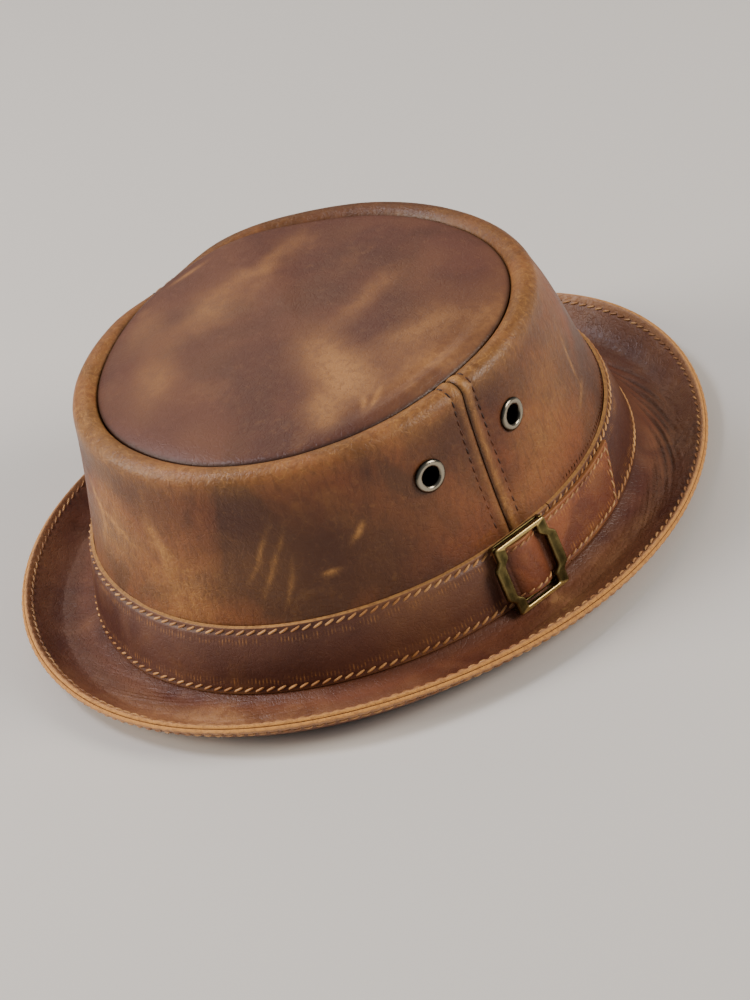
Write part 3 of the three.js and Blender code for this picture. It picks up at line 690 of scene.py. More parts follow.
def tip_rows(place, depth):
    """Rows from the turned-down margin over the lip to the middle, at a depth in the leather.

    The dome is a superellipse arc over the share of the way from the middle to the lip, laid
    on straight lines from the middle of the rim's plane to its edge. Where the lip is higher,
    the difference fades inwards as the square of the share.
    """
    rows = []
    for down in np.linspace(TIP_TURN_DOWN, 0, 4)[:-1]:
        rows.append(rim_point(place, -TIP_REACH - depth) - UP * down)
    for part in np.linspace(0, 1, 6):
        inset, level = tip_lip(place, part)
        rows.append(rim_point(place, 0.0) - facing_out(OUTLINES["rim"], place) * (inset + depth)[:, None]
                    + UP * level[:, None])
    edge = rows[-1] - UP * level[:, None]
    middle = np.array([0.0, OUTLINES["rim"]["middle"], OUTLINES["rim"]["height"]])
    plain = TIP_REACH * np.sin(np.radians(TIP_LIP["turn"]))
    shares = np.concatenate([1 - np.linspace(0.06, 1, 14) ** 2 * 0.12, np.linspace(0.88, 0.012, 64)[1:]])
    for share in shares:
        dome = TIP_RISE * (1 - share ** TIP_CURVE) ** (1 / TIP_CURVE)
        rise = plain + (level - plain) * share ** 2 + dome - depth
        rows.append(middle * (1 - share) + edge * share + UP * rise[:, None])
    return np.array(rows), np.concatenate([np.ones(len(rows) - len(shares)), shares])[:, None]


# Pale rubs on the tip: place across and along the hat, half length, half width, turn in
# degrees and strength
TIP_RUBS = [
    dict(x=-38, y=10, long=15, wide=5, turn=94, strength=0.55),
    dict(x=-37, y=-20, long=15, wide=8, turn=88, strength=0.45),
    dict(x=30, y=-21, long=19, wide=8, turn=-21, strength=0.95),
    dict(x=42, y=-39, long=10, wide=6, turn=-35, strength=0.6),
    dict(x=57, y=-5, long=14, wide=5, turn=82, strength=0.6),
    dict(x=56, y=23, long=12, wide=5, turn=108, strength=0.35),
    dict(x=-26, y=-52, long=16, wide=7, turn=135, strength=0.4),
    dict(x=-50, y=-36, long=12, wide=7, turn=115, strength=0.3),
    dict(x=10, y=12, long=15, wide=4, turn=95, strength=0.35),
    dict(x=38, y=6, long=12, wide=5, turn=70, strength=0.2),
    dict(x=46, y=4, long=40, wide=16, turn=88, strength=0.36),
]
# Scratches, in the same columns
TIP_SCRATCHES = [
    dict(x=53, y=-27, long=5, wide=0.9, turn=-68, strength=0.8),
    dict(x=51, y=-30, long=4, wide=0.9, turn=-50, strength=0.7),
    dict(x=-61, y=-5, long=7, wide=0.9, turn=84, strength=0.8),
]
tip_place = np.arange(TIP_PLACES) * 2 * np.pi / TIP_PLACES
tip_outer, tip_share = tip_rows(tip_place, 0.0)
tip_inner = tip_rows(tip_place, TIP_LEATHER)[0]
tip_soft = 0.5 * lattice_noise(tip_outer, 40, 21) + 0.14 * lattice_noise(tip_outer, 15, 22)
tip_fold = near(dict(at=-6, width=20), tip_place) * (
    0.9 * bump(tip_share - 0.93, 0.035) - 0.6 * bump(tip_share - 0.865, 0.03))
tip_move = tip_soft * smooth(1 - tip_share, 0.0, 0.08) + tip_fold
tip_outer = tip_outer + UP * tip_move[..., None]
tip_wander = 4 * lattice_noise(tip_outer, 9, 24) + 1.8 * lattice_noise(tip_outer, 3.5, 25)
tip_rub = rubbed(TIP_RUBS, tip_outer[..., 0] + tip_wander, tip_outer[..., 1] - 0.7 * tip_wander)
tip_rub += rubbed(TIP_SCRATCHES, tip_outer[..., 0], tip_outer[..., 1])
tip_rub += 0.12 * lattice_noise(tip_outer, 14, 23)
# Painted shade on the turned-down margin, the lip and the dome's very edge, where the tip sinks into the
# groove by the roll; the inner face gets a little too
tip_painted_shade = 0.8 * bump(1 - tip_share, 0.012)
tip_leather = oiled_leather("oiled pull-up cowhide, tip", "#523024", "#623b2c", "#a97747", "#b98a55",
                            rough=0.4, cloud_mm=50, mottle=0.28, wrinkles=0.25, grain=0.35, crackle=0.15)
tip = leather_sheet("crown_tip_oval", tip_outer, tip_inner,
                    {"rub_and_sheen": (tip_rub, 0), "painted_shade": (tip_painted_shade, 0.3)}, wrap=True, cap=True)
finish_piece(tip, "crown_tip", tip_leather)

# Brim
# Two plies of 1.5 mm leather stitched together along the edge, pressed into a curl that
# rises all round from a low ring, with the cut edge left raw.
OUTLINES["brim"] = dict(wide=109.5, long=127.2, middle=-0.1, egg=-0.02, square=2, lead=0,
                        height=11, tilt=-2.3, cross=-1.2, twist=-4.1)
BRIM_WIDTH = 26.0
BRIM_PLY = 1.5
PLY_GAP = 0.3
GUTTER_TOP = 3.1
GUTTER_START = 0.36
GUTTER_END = 0.47
GUTTER_CHANGE = 0.04
CURL_POWER = 1.6
CURL_CHANGE = 0.25
UNDER_CROWN = 3.7
BRIM_STITCH_IN = 1.8
BRIM_STITCH_PITCH = 3.7
BRIM_THICK = 2 * BRIM_PLY + PLY_GAP
MEETING_WEAR = 0.3
EDGE_PINCH = 0.3
CREASE_ROOM = 0.9
EDGE_THREAD = 0.42
EDGE_PULL = 0.14
CORNER_WEAR = 0.6
EDGE_STEPS = 1200


def brim_section(place, share):
    """Level and slope of the brim's upper face: a falling parabola from the crown to the low
    ring, flat in the ring, then a curl that rises as a power of the share that is left."""
    ends = -np.cos(2 * place)
    start = GUTTER_START + GUTTER_CHANGE * ends
    stop = GUTTER_END + GUTTER_CHANGE * ends
    power = CURL_POWER + CURL_CHANGE * ends
    top = outline_point(OUTLINES["base"], place)[..., 2] - 0.3 - GUTTER_TOP
    end = outline_point(OUTLINES["brim"], place)[..., 2] - GUTTER_TOP
    left = np.clip(1 - share / start, 0, 1)
    up = np.clip((share - stop) / (1 - stop), 0, None)
    level = GUTTER_TOP + top * left ** 2 + end * up ** power
    slope = -2 * top * left / start + power * end * up ** (power - 1) / (1 - stop)
    return level, slope


def brim_point(place, share, depth):
    """A point of the brim's section at a depth below its upper face, kept off the ground, and
    the direction square to that face."""
    start = outline_point(OUTLINES["base"], place)
    end = outline_point(OUTLINES["brim"], place)
    reach = (end - start) * (1, 1, 0)
    width = np.linalg.norm(reach, axis=-1, keepdims=True)
    direction = reach / width
    level, slope = brim_section(place, share)
    tilt = np.arctan(slope[..., None] / width)
    square = UP * np.cos(tilt) - direction * np.sin(tilt)
    point = start * (1, 1, 0) + reach * np.asarray(share)[..., None] + UP * level[..., None]
    point = point - square * np.asarray(depth)[..., None]
    lowest = BRIM_THICK - np.asarray(depth)
    point[..., 2] = np.maximum(point[..., 2], lowest)
    return point, square


# Creases: place and half width in degrees, depth in millimetres, the shares of the brim where
# each begins and ends, and its lean in degrees over the whole share
BRIM_CREASES = [
    dict(angle=63, width=1.7, depth=0.6, low=0.05, high=0.6, lean=-58),
    dict(angle=70, width=1.9, depth=0.8, low=0.02, high=0.7, lean=-60),
    dict(angle=76, width=1.6, depth=0.85, low=0.02, high=0.6, lean=-60),
    dict(angle=82, width=1.9, depth=0.9, low=0.02, high=0.65, lean=-62),
    dict(angle=89, width=1.7, depth=0.8, low=0.05, high=0.6, lean=-62),
    dict(angle=97, width=2.0, depth=0.6, low=0.1, high=0.6, lean=-60),
    dict(angle=-62, width=2.0, depth=0.4, low=0.3, high=0.9, lean=5),
    dict(angle=112, width=2.0, depth=0.6, low=0.1, high=0.8, lean=4),
    dict(angle=171, width=1.8, depth=0.6, low=0.1, high=0.8, lean=-4),
    dict(angle=-150, width=2.0, depth=0.5, low=0.2, high=0.9, lean=3),
]


def brim_folds(place, share):
    """Folds that run outwards over the brim: noise drawn out along the share, crisp where it
    changes sign. The angle falls by 55 degrees over the whole share, so they sweep forwards."""
    turn = place + np.radians(55) * share
    at = np.stack([np.cos(turn) * 38, np.sin(turn) * 38, share * 2.6], -1)
    return 1 - 2 * np.abs(lattice_noise(at, 1.0, 34)) + 0.5 * lattice_noise(at * 2.1, 1.0, 35)


def brim_creases(place, share):
    """Depth of the creases: each is a bell across its line, which leans by so many degrees over
    the whole share, between its low and its high share."""
    total = 0 * share
    for crease in BRIM_CREASES:
        away = (np.degrees(place) - crease["angle"] - crease["lean"] * share + 180) % 360 - 180
        fade = smooth(share, crease["low"], crease["low"] + 0.2)
        fade = fade * (1 - smooth(share, crease["high"] - 0.25, crease["high"]))
        total = total + crease["depth"] * bump(away, crease["width"]) * fade
    return total


def brim_relief(points, place, share):
    """Fine wrinkles where the curl was pressed, soft hollows, folds and a few radial creases."""
    inside = smooth(share, 0.0, 0.12) * (1 - smooth(share, 0.9, 1.0))
    tight = 1 + 1.4 * near(dict(at=30, width=30), place) + near(dict(at=-67, width=20), place)
    fine = 0.14 * (0.5 - np.abs(lattice_noise(points, 3.2, 31))) * smooth(share, 0.3, 0.5) * tight
    soft = 0.22 * lattice_noise(points, 22, 32) + 0.08 * lattice_noise(points, 8, 33)
    folded = 0.05 + 0.22 * near(dict(at=48, width=24), place) + 0.14 * near(dict(at=-72, width=26), place)
    folded = folded * smooth(share, 0.02, 0.2) * (1 - 0.8 * smooth(share, 0.5, 0.75))
    return (fine + soft - folded * brim_folds(place, share) - brim_creases(place, share)) * inside


def relief_share(depth):
    """The share of the upper face's relief at a depth: from 1 at the top to 0.4 underneath."""
    return 1 - 0.6 * depth / BRIM_THICK


edge_place = np.linspace(0, 2 * np.pi, EDGE_STEPS) + FAR_SEAM
edge_share = np.full(EDGE_STEPS, 1 - BRIM_STITCH_IN / BRIM_WIDTH)


def stitch_count(place, depth):
    """How many stitches of the edge row at a depth lie between its start and a place."""
    run = path_run(brim_point(edge_place, edge_share, np.full(EDGE_STEPS, depth))[0])
    return np.interp(place, edge_place, run / run[-1] * int(run[-1] / BRIM_STITCH_PITCH))


def brim_ply(name, near_top, near_bottom, rows, columns):
    """One ply, rows from the edge inwards, with the corners of its cut edge worn round."""
    place = (np.linspace(0, 2 * np.pi, columns + 1)[:-1] + FAR_SEAM)[None, :]
    close = np.array([0, 0.1, 0.25, 0.45, 0.7, 1.0, 1.35, 1.7, 2.1, 2.5]) / BRIM_WIDTH
    share = np.concatenate([1 - close, np.linspace(1 - 3.1 / BRIM_WIDTH, 0, rows)])[:, None]
    worn = edge_round((1 - share) * BRIM_WIDTH, CORNER_WEAR)
    both = share + 0 * place
    faces = []
    plain = brim_point(place + 0 * share, both, np.full(both.shape, near_top))
    relief = brim_relief(plain[0], place, both)
    from_edge = (1 - both) * BRIM_WIDTH
    for depth, side in ((near_top, 1), (near_bottom, -1)):
        points, square = brim_point(place + 0 * share, both, np.full(both.shape, depth))
        sink = worn * MEETING_WEAR
        if depth in (0, BRIM_THICK):
            hole = 0.5 + 0.5 * np.cos(2 * np.pi * stitch_count(place[0], depth))
            sink = worn + EDGE_PULL * bump(from_edge - BRIM_STITCH_IN, 0.5)
            sink = sink + EDGE_PINCH * hole * bump(from_edge - 0.9, 1.1)
        move = relief * relief_share(depth) - side * sink
        moved = points + square * move[..., None]
        lowest = BRIM_THICK - depth - (CREASE_ROOM if depth == 0 else 0)
        moved[..., 2] = np.maximum(moved[..., 2], lowest)
        under = outline_point(OUTLINES["base"], place[0], -UNDER_CROWN) - UP * (0.3 + depth)
        faces.append(np.concatenate([moved, under[None]]))
    edge = (share > 0.999) + 0 * place
    edge = np.concatenate([edge, 0 * place])
    join = bump((np.degrees(place) + 2.6 + 180) % 360 - 180, 2.4)
    rub_and_sheen = 0.8 * (1 - smooth(from_edge, 0.5, 2.2)) + 0.2 * smooth(both, 0.6, 0.9)
    # Painted sheen: pale patches on the curl at the front and at the near right stand in for soft
    # highlights there
    rub_and_sheen += 0.7 * near(dict(at=-69, width=19), place) * bump(both - 0.52, 0.24)
    rub_and_sheen += 0.45 * near(dict(at=22, width=24), place) * bump(both - 0.45, 0.25)
    rub_and_sheen += 0.25 * lattice_noise(plain[0], 17, 36) + 0.12 * lattice_noise(plain[0], 5, 37)
    rub_and_sheen += 0.75 * join * bump(both - 0.3, 0.3) * (0.6 + 0.8 * lattice_noise(plain[0], 2.5, 38))
    # Painted shade: darker next to the crown, in the low ring, on the far side and in the creases, less
    # where the join is rubbed pale
    painted_shade = 0.5 * (1 - smooth(both, 0.0, 0.3)) + 0.3 * bump(both - 0.42, 0.15)
    painted_shade = (painted_shade + 0.3 * near(dict(at=88, width=34), place) * bump(both - 0.65, 0.3)) * (1 - 0.8 * join)
    painted_shade = painted_shade + 0.4 * brim_creases(place, both)
    rub_and_sheen = np.concatenate([rub_and_sheen, 0 * place])
    # The row tucked under the crown is half dark, as painted shade
    painted_shade = np.concatenate([painted_shade, 0 * place + 0.5])
    fields = {"rub_and_sheen": (rub_and_sheen, rub_and_sheen), "painted_shade": (painted_shade, painted_shade), "raw": (edge, edge)}
    return leather_sheet(name, *faces, fields, sharp=60, wrap=True)


brim_leather = oiled_leather("oiled cowhide, brim", "#5f3224", "#774731", "#b28055", "#cb8f48",
                             rough=0.42, cloud_mm=30, mottle=0.25, wrinkles=0.5, grain=0.5)
PLY_MEET = BRIM_PLY + 0.5 * PLY_GAP
brim_top = brim_ply("brim_upper_ply", 0, PLY_MEET - 0.02, 46, 820)
brim_bottom = brim_ply("brim_under_ply", PLY_MEET + 0.02, BRIM_THICK, 24, 960)
finish_piece(brim_top, "brim_upper", brim_leather)
finish_piece(brim_bottom, "brim_under", brim_leather)

edge_rows = []
for depth, side in ((0, 1), (BRIM_THICK, -1)):
    points, square = brim_point(edge_place, edge_share, np.full(EDGE_STEPS, depth))
    sunk = brim_relief(points, edge_place, edge_share) * relief_share(depth) - side * EDGE_PULL
    edge_rows.append(stitch_row(points + square * sunk[:, None], square * side, BRIM_STITCH_PITCH,
                                1.0, 0.3, EDGE_THREAD))
stitches("brim_edge_stitches", edge_rows, rust_thread)

# Band
# A strip of dark oxblood strap leather 1.6 mm thick round the foot of the crown, with a
# row of slanted stitches and the sewing machine's feed marks along both cut edges.
BAND_LEATHER = 1.6
BAND_TALL = 22.4
BAND_JOIN = np.radians(6)
BAND_JOIN_GAP = 0.35
BAND_STITCH_IN = 1.6
BAND_SKIVE = 0.55
BAND_STITCH_PITCH = 3.67
FEED_PITCH = 1.25


def band_point(place, share, out=0.0):
    """Straight from the band's lower to its upper outline."""
    low = outline_point(OUTLINES["base"], place, out)
    high = outline_point(OUTLINES["band_top"], place, out)
    share = np.asarray(share)[..., None]
    return low * (1 - share) + high * share


SMALL_TURN = 0.002


def band_square(place):
    """Direction square to the band's face, from its tangent and its slope."""
    half_way = 0.5 + 0 * place
    tangent = band_point(place + SMALL_TURN, half_way) - band_point(place - SMALL_TURN, half_way)
    rise = band_point(place, 1 + 0 * place) - band_point(place, 0 * place)
    square = np.cross(tangent, rise)
    return square / np.linalg.norm(square, axis=-1, keepdims=True)


def band_relief(points, from_edge):
    """A slight swell between the edges, the pull of the stitches and the hide's softness."""
    swell = 0.25 * smooth(from_edge, 1.5, 9)
    pull = -0.22 * bump(from_edge - BAND_STITCH_IN, 0.6)
    return swell + pull + 0.16 * lattice_noise(points, 17, 41)


band_half = BAND_JOIN_GAP / 2 / OUTLINES["base"]["wide"]
band_place = np.linspace(BAND_JOIN + band_half, BAND_JOIN + 2 * np.pi - band_half, 620)[None, :]
band_mm = np.concatenate([[0, 0.08, 0.2, 0.4], np.linspace(0.75, 4.5, 11), np.linspace(6, 11.2, 4)])
band_share = np.concatenate([band_mm, (BAND_TALL - band_mm)[::-1]])[:, None] / BAND_TALL
band_grid = band_share + 0 * band_place
band_from_edge = np.minimum(band_grid, 1 - band_grid) * BAND_TALL
band_face = band_point(band_place + 0 * band_share, band_grid)
band_out = band_square(band_place + 0 * band_share)
band_worn = edge_round(band_from_edge, 0.4)
band_skived = BAND_SKIVE * (1 - smooth(band_from_edge, 0.5, 3.0)) * (band_grid > 0.5)
band_lift = band_relief(band_face, band_from_edge) - band_worn - band_skived
band_outer = band_face + band_out * band_lift[..., None]
band_inner = band_point(band_place + 0 * band_share, band_grid, -BAND_LEATHER)
band_inner = band_inner + band_out * (0.4 * band_worn - 0.25)[..., None]
band_edge = (band_from_edge < 0.1).astype(float)
band_rub = 0.3 * bump(band_from_edge, 0.7) + 0.2 * lattice_noise(band_face, 26, 42)
band_rub += 0.1 * lattice_noise(band_face, 6, 43)
# Painted shade along the groove that the stitches pull in at each edge
band_painted_shade = 0.2 * bump(band_from_edge - BAND_STITCH_IN, 0.6)
band_feed = bump(band_from_edge - BAND_STITCH_IN - 2.6, 1.0)
band_run = path_run(band_outer[10]) + 0 * band_grid
band_along = np.stack([band_run, band_grid * BAND_TALL], -1).reshape(-1, 2)
band_leather = oiled_leather("oxblood strap leather, band", "#4a281f", "#603a2c", "#a2703f", "#b08048",
                             rough=0.42, cloud_mm=45, mottle=0.25, wrinkles=0.25, feed_pitch=FEED_PITCH)
band_fields = {
    "rub_and_sheen": (band_rub, 0), "painted_shade": (band_painted_shade, 0), "raw": (band_edge, band_edge), "feed": (band_feed, 0)}
band = leather_sheet("hat_band_strip", band_outer, band_inner, band_fields,
                     along=np.concatenate([band_along, band_along]))
finish_piece(band, "hat_band", band_leather)

band_rows = []
for share in (BAND_STITCH_IN / BAND_TALL, 1 - BAND_STITCH_IN / BAND_TALL):
    place = np.linspace(BAND_JOIN + band_half, BAND_JOIN + 2 * np.pi - band_half, 1200)
    points = band_point(place, np.full(place.shape, share))
    out = band_square(place)
    skived = BAND_SKIVE * (1 - smooth(BAND_STITCH_IN, 0.5, 3.0)) * (share > 0.5)
    relief = band_relief(points, np.full(place.shape, BAND_STITCH_IN)) - skived
    band_rows.append(stitch_row(points + out * relief[:, None], out, BAND_STITCH_PITCH))
stitches("hat_band_stitches", band_rows, tan_thread)

# Strap
# A short tapered strap of mid-brown leather laid over the band's join. It runs through
# the slide buckle, over the buckle's hidden middle bar, and is sewn down all round.
STRAP_START = np.radians(-9.4)
STRAP_END_TOP = np.radians(29)
STRAP_END_BOTTOM = np.radians(22.8)
STRAP_LOW = 0.074
STRAP_HIGH = 0.938
BUCKLE_PLACE = np.radians(-3.9)
HUMP_REACH = 5.7
HUMP_RISE = 2.2
STRAP_STITCH_IN = 1.5
STRAP_STITCH_PITCH = 3.2
STRAP_THREAD = 0.4
STRAP_RADIUS = 88
STRAP_LONG = 60

strap_columns = np.concatenate([np.linspace(0, 0.36, 90), np.linspace(0.36, 1, 170)[1:]])


def strap_place(column, share):
    """Angle at a share of the strap's length: its far end slants from bottom to top."""
    end = STRAP_END_BOTTOM + (STRAP_END_TOP - STRAP_END_BOTTOM) * share
    return STRAP_START + (end - STRAP_START) * column


def strap_lift(place):
    """The strap lies 0.3 mm over the band and humps over the hidden bar as a cosine arch."""
    along = (place - BUCKLE_PLACE) * OUTLINES["base"]["wide"]
    arch = np.cos(np.clip(along / HUMP_REACH, -1, 1) * np.pi / 2)
    return 0.3 + HUMP_RISE * np.abs(arch) ** 0.8


def strap_point(column, share, over):
    """A point of the strap at a height over its inner face, and the band's square there."""
    place = strap_place(column, share)
    v = STRAP_LOW + (STRAP_HIGH - STRAP_LOW) * share
    square = band_square(place)
    return band_point(place, v) + square * (strap_lift(place) + over)[..., None], square


strap_tall = BAND_TALL * (STRAP_HIGH - STRAP_LOW)
strap_mm = np.concatenate([
    [0, 0.08, 0.2, 0.4], np.linspace(0.75, 4.2, 10), np.linspace(5.5, strap_tall / 2, 4)])
strap_share = np.concatenate([strap_mm, (strap_tall - strap_mm)[::-1][1:]])[:, None] / strap_tall
strap_column = strap_columns[None, :] + 0 * strap_share
strap_grid = strap_share + 0 * strap_column
strap_long = (strap_place(strap_column, strap_grid) - STRAP_START) * STRAP_RADIUS
strap_end = (strap_place(1.0, strap_grid) - strap_place(strap_column, strap_grid)) * STRAP_RADIUS
strap_side = np.minimum(strap_grid, 1 - strap_grid) * strap_tall
strap_from_edge = np.minimum(strap_side, np.minimum(strap_end, strap_long))
strap_worn = edge_round(strap_from_edge, 0.4)
strap_dip = 0.2 * bump(strap_from_edge - STRAP_STITCH_IN, 0.55)
strap_outer = strap_point(strap_column, strap_grid, BAND_LEATHER - strap_worn - strap_dip)[0]
strap_inner = strap_point(strap_column, strap_grid, 0 * strap_grid)[0]
strap_edge = (strap_from_edge < 0.1).astype(float)
strap_rub = 0.3 * bump(strap_from_edge, 0.8) + 0.25 * lattice_noise(strap_outer, 11, 51)
strap_rub += 0.12 * lattice_noise(strap_outer, 3.5, 52)
strap_from_bar = np.abs(strap_long - (BUCKLE_PLACE - STRAP_START) * STRAP_RADIUS)
# Painted shade along the stitch groove, and painted shadow where the strap dives under the buckle's side
# bars
strap_painted_shade = 0.25 * bump(strap_from_edge - STRAP_STITCH_IN, 0.6) + 0.75 * bump(strap_from_bar - 6.2, 1.6)
strap_feed = bump(strap_from_edge - STRAP_STITCH_IN - 2.0, 0.8) * smooth(strap_long, 14, 18)
strap_along = np.stack([strap_long, strap_grid * strap_tall], -1).reshape(-1, 2)
strap_leather = oiled_leather("oiled strap leather, strap", "#693620", "#8c4d2c", "#b57a3e", "#a87040",
                              rough=0.45, cloud_mm=20, mottle=0.25, wrinkles=0.25, feed_pitch=FEED_PITCH)
strap_fields = {
    "rub_and_sheen": (strap_rub, 0), "painted_shade": (strap_painted_shade, 0),
    "raw": (strap_edge, strap_edge), "feed": (strap_feed, 0)}
strap = leather_sheet("buckle_strap_piece", strap_outer, strap_inner, strap_fields,
                      along=np.concatenate([strap_along, strap_along]))
finish_piece(strap, "buckle_strap", strap_leather)

strap_rows = []
strap_in = STRAP_STITCH_IN / strap_tall
end_in = 1 - STRAP_STITCH_IN / STRAP_LONG
line = np.linspace(0.03, end_in, 400)
rise = np.linspace(strap_in, 1 - strap_in, 120)
bottom = (line, np.full(line.shape, strap_in))
top = (line, np.full(line.shape, 1 - strap_in))
slanted = (np.full(rise.shape, end_in), rise)
for column, share in (bottom, top, slanted):
    points, out = strap_point(column, share, np.full(column.shape, BAND_LEATHER - 0.2))
    strap_rows.append(stitch_row(points, out, STRAP_STITCH_PITCH, length=1, slant=0.3, radius=STRAP_THREAD))
stitches("buckle_strap_stitches", strap_rows, rust_thread)

# Buckle
# A cast slide buckle in antique brass: an upright frame whose sides step outwards in the
# middle, with polished rails front and back at both ends and a bar hidden by the strap.
BUCKLE_WIDE = 22.6
BUCKLE_TALL = 24.5
BUCKLE_STEP = 2.3
BUCKLE_SIDE = 4.1
BUCKLE_END = 1.6
BUCKLE_THICK = 2.2
BUCKLE_BACK = 2.2
BUCKLE_SHIFT = -0.35
RAIL_THICK = 1.0
RAIL_LEVELS = (11.95, -10.15)
RAIL_OUT = 0.9
POST = 1.6
POST_OUT = 1.7
POST_DEEP = 2.6
BAR = 3.4


def rounded_path(corners, radius, steps):
    """A closed path through corners, each turned on a parabola that starts this far before it."""
    corners = np.asarray(corners, float)
    before = np.roll(corners, 1, axis=0) - corners
    after = np.roll(corners, -1, axis=0) - corners
    lengths = np.linalg.norm(before, axis=1), np.linalg.norm(after, axis=1)
    reach = np.minimum(radius, 0.48 * np.minimum(*lengths))[:, None]
    start = corners + before / lengths[0][:, None] * reach
    stop = corners + after / lengths[1][:, None] * reach
    t = np.linspace(0, 1, steps)[None, :, None]
    path = start[:, None] * (1 - t) ** 2 + corners[:, None] * 2 * t * (1 - t) + stop[:, None] * t ** 2
    return path.reshape(-1, 2)


half, tall, out = BUCKLE_WIDE / 2, BUCKLE_TALL / 2, BUCKLE_WIDE / 2 + BUCKLE_STEP
ogee = [(half, tall), (half, 0.62 * tall), (half + 0.7, 0.56 * tall), (out, 0.46 * tall),
        (out, -0.46 * tall), (half + 0.7, -0.56 * tall), (half, -0.62 * tall), (half, -tall)]
outline = ogee + [(-x, -y) for x, y in ogee]
inside = [(x - np.sign(x) * BUCKLE_SIDE, y - np.sign(y) * BUCKLE_END * (abs(y) == tall))
          for x, y in outline]
outer_path = rounded_path(outline, 1.2, 9)
inner_path = rounded_path(inside, 0.9, 9)
section_turn = np.linspace(0, 2 * np.pi, 29)[:-1]
section_x = np.sign(np.cos(section_turn)) * np.abs(np.cos(section_turn)) ** 0.4
section_z = np.sign(np.sin(section_turn)) * np.abs(np.sin(section_turn)) ** 0.55
centre = (outer_path + inner_path) / 2
swing = (outer_path - inner_path) / 2
flat = centre[:, None] + swing[:, None] * section_x[None, :, None]
height = BUCKLE_BACK + BUCKLE_THICK / 2 * (1 + section_z)
rings = np.concatenate([flat, np.broadcast_to(height[None, :, None], (*flat.shape[:2], 1))], -1)
crest = 0.3 * smooth(np.abs(section_x) * section_z, 0.45, 0.75)[None, :] + 0 * rings[..., 0]
on_end = smooth(np.abs(centre[:, 1]), tall - 1.4, tall - 0.9)[:, None]
worn_edge = np.clip(crest + 0.9 * on_end * smooth(section_z, 0.5, 0.95)[None, :], 0, 1)
at = np.arange(rings.shape[0] * rings.shape[1]).reshape(rings.shape[:2])
ahead, up = np.roll(at, -1, axis=0), np.roll(at, -1, axis=1)
frame_faces = np.stack([at, up, np.roll(up, -1, axis=0), ahead], -1).reshape(-1, 4)


BLOCK_LEVELS = 11
BLOCK_SIDES = 16


def rounded_block(x, y, z, wide, high, deep, round_by=0.3):
    """A box as a faceted ball pushed out to the box's faces, so its edges are soft."""
    lift = np.linspace(-np.pi / 2, np.pi / 2, BLOCK_LEVELS + 2)[1:-1]
    turn = np.linspace(0, 2 * np.pi, BLOCK_SIDES + 1)[:-1]
    ball = np.stack([np.cos(lift)[:, None] * np.cos(turn), np.cos(lift)[:, None] * np.sin(turn),
                     np.sin(lift)[:, None] + 0 * turn], -1)
    ball = ball.reshape(-1, 3)
    ball = np.concatenate([ball, [[0, 0, -1], [0, 0, 1]]])
    signs = np.sign(np.round(ball, 6))
    core = signs * (np.array([wide, high, deep]) / 2 - round_by)
    points = core + ball * round_by + (x, y, z)
    grid = np.arange(BLOCK_LEVELS * BLOCK_SIDES).reshape(BLOCK_LEVELS, BLOCK_SIDES)
    ahead = np.roll(grid, -1, axis=1)
    quads = np.stack([grid[:-1], ahead[:-1], ahead[1:], grid[1:]], -1).reshape(-1, 4)
    low_cap = np.stack([0 * grid[0] + grid.size, ahead[0], grid[0]], -1)
    high_cap = np.stack([0 * grid[0] + grid.size + 1, grid[-1], ahead[-1]], -1)
    return points, quads, np.concatenate([low_cap, high_cap])


# Spots of patina and grains of the casting in a millimetre
PATINA_SPOTS = 0.42
CASTING_GRAINS = 2.5


def antique_brass(name, colour, dark, bright):
    """Cast brass with a chemical patina, tumbled so that edges and rails are bright again."""
    material, tree, place = new_material(name)
    patina = put(tree, "TexNoise", {"Vector": place, "Scale": PATINA_SPOTS / MM, "Detail": 4.0})
    patina = put(tree, "MapRange", {0: patina, 1: 0.35, 2: 0.65})
    worn = put(tree, "Attribute", out="Fac", attribute_name="worn")
    tint = put(tree, "Mix", {0: patina, 6: linear(dark), 7: linear(colour)}, **COLOURS)
    tint = put(tree, "Mix", {0: worn, 6: tint, 7: linear(bright)}, **COLOURS)
    rough = put(tree, "MapRange", {0: worn, 1: 0.0, 2: 1.0, 3: 0.4, 4: 0.3})
    grit = put(tree, "TexNoise", {"Vector": place, "Scale": CASTING_GRAINS / MM, "Detail": 2.0})
    relief = put(tree, "Bump", {"Height": grit, "Strength": 0.04, "Distance": 0.00005})
    shader = put(tree, "BsdfPrincipled", {
        "Base Color": tint, "Metallic": 1.0, "Roughness": rough, "Normal": relief})
    put(tree, "OutputMaterial", {"Surface": shader})
    return material


buckle_points = [rings.reshape(-1, 3)]
buckle_faces = frame_faces.tolist()
buckle_worn = [worn_edge.ravel()]
# Blocks by middle and size: the hidden bar, then each rail behind the frame and its two posts
blocks = [(0, 0.5 * sum(RAIL_LEVELS), RAIL_OUT, BAR, RAIL_LEVELS[0] - RAIL_LEVELS[1], RAIL_THICK)]
for level in RAIL_LEVELS:
    blocks.append((0, level, RAIL_OUT, BUCKLE_WIDE, RAIL_THICK, RAIL_THICK))
    for end in (half - POST / 2, POST / 2 - half):
        blocks.append((end, level, POST_OUT, POST, RAIL_THICK, POST_DEEP))
for block in blocks:
    points, quads, caps = rounded_block(*block)
    first = sum(len(group) for group in buckle_points)
    buckle_points.append(points)
    buckle_faces += (quads + first).tolist() + (caps + first).tolist()
    buckle_worn.append(np.full(len(points), 0.1))
seat_sides = band_point(BUCKLE_PLACE + np.array([-0.01, 0.01]), 0.5 * np.ones(2))
seat_right = seat_sides[1] - seat_sides[0]
seat_right /= np.linalg.norm(seat_right)
seat_out = band_square(np.array([BUCKLE_PLACE]))[0]
seat_up = np.cross(seat_out, seat_right)
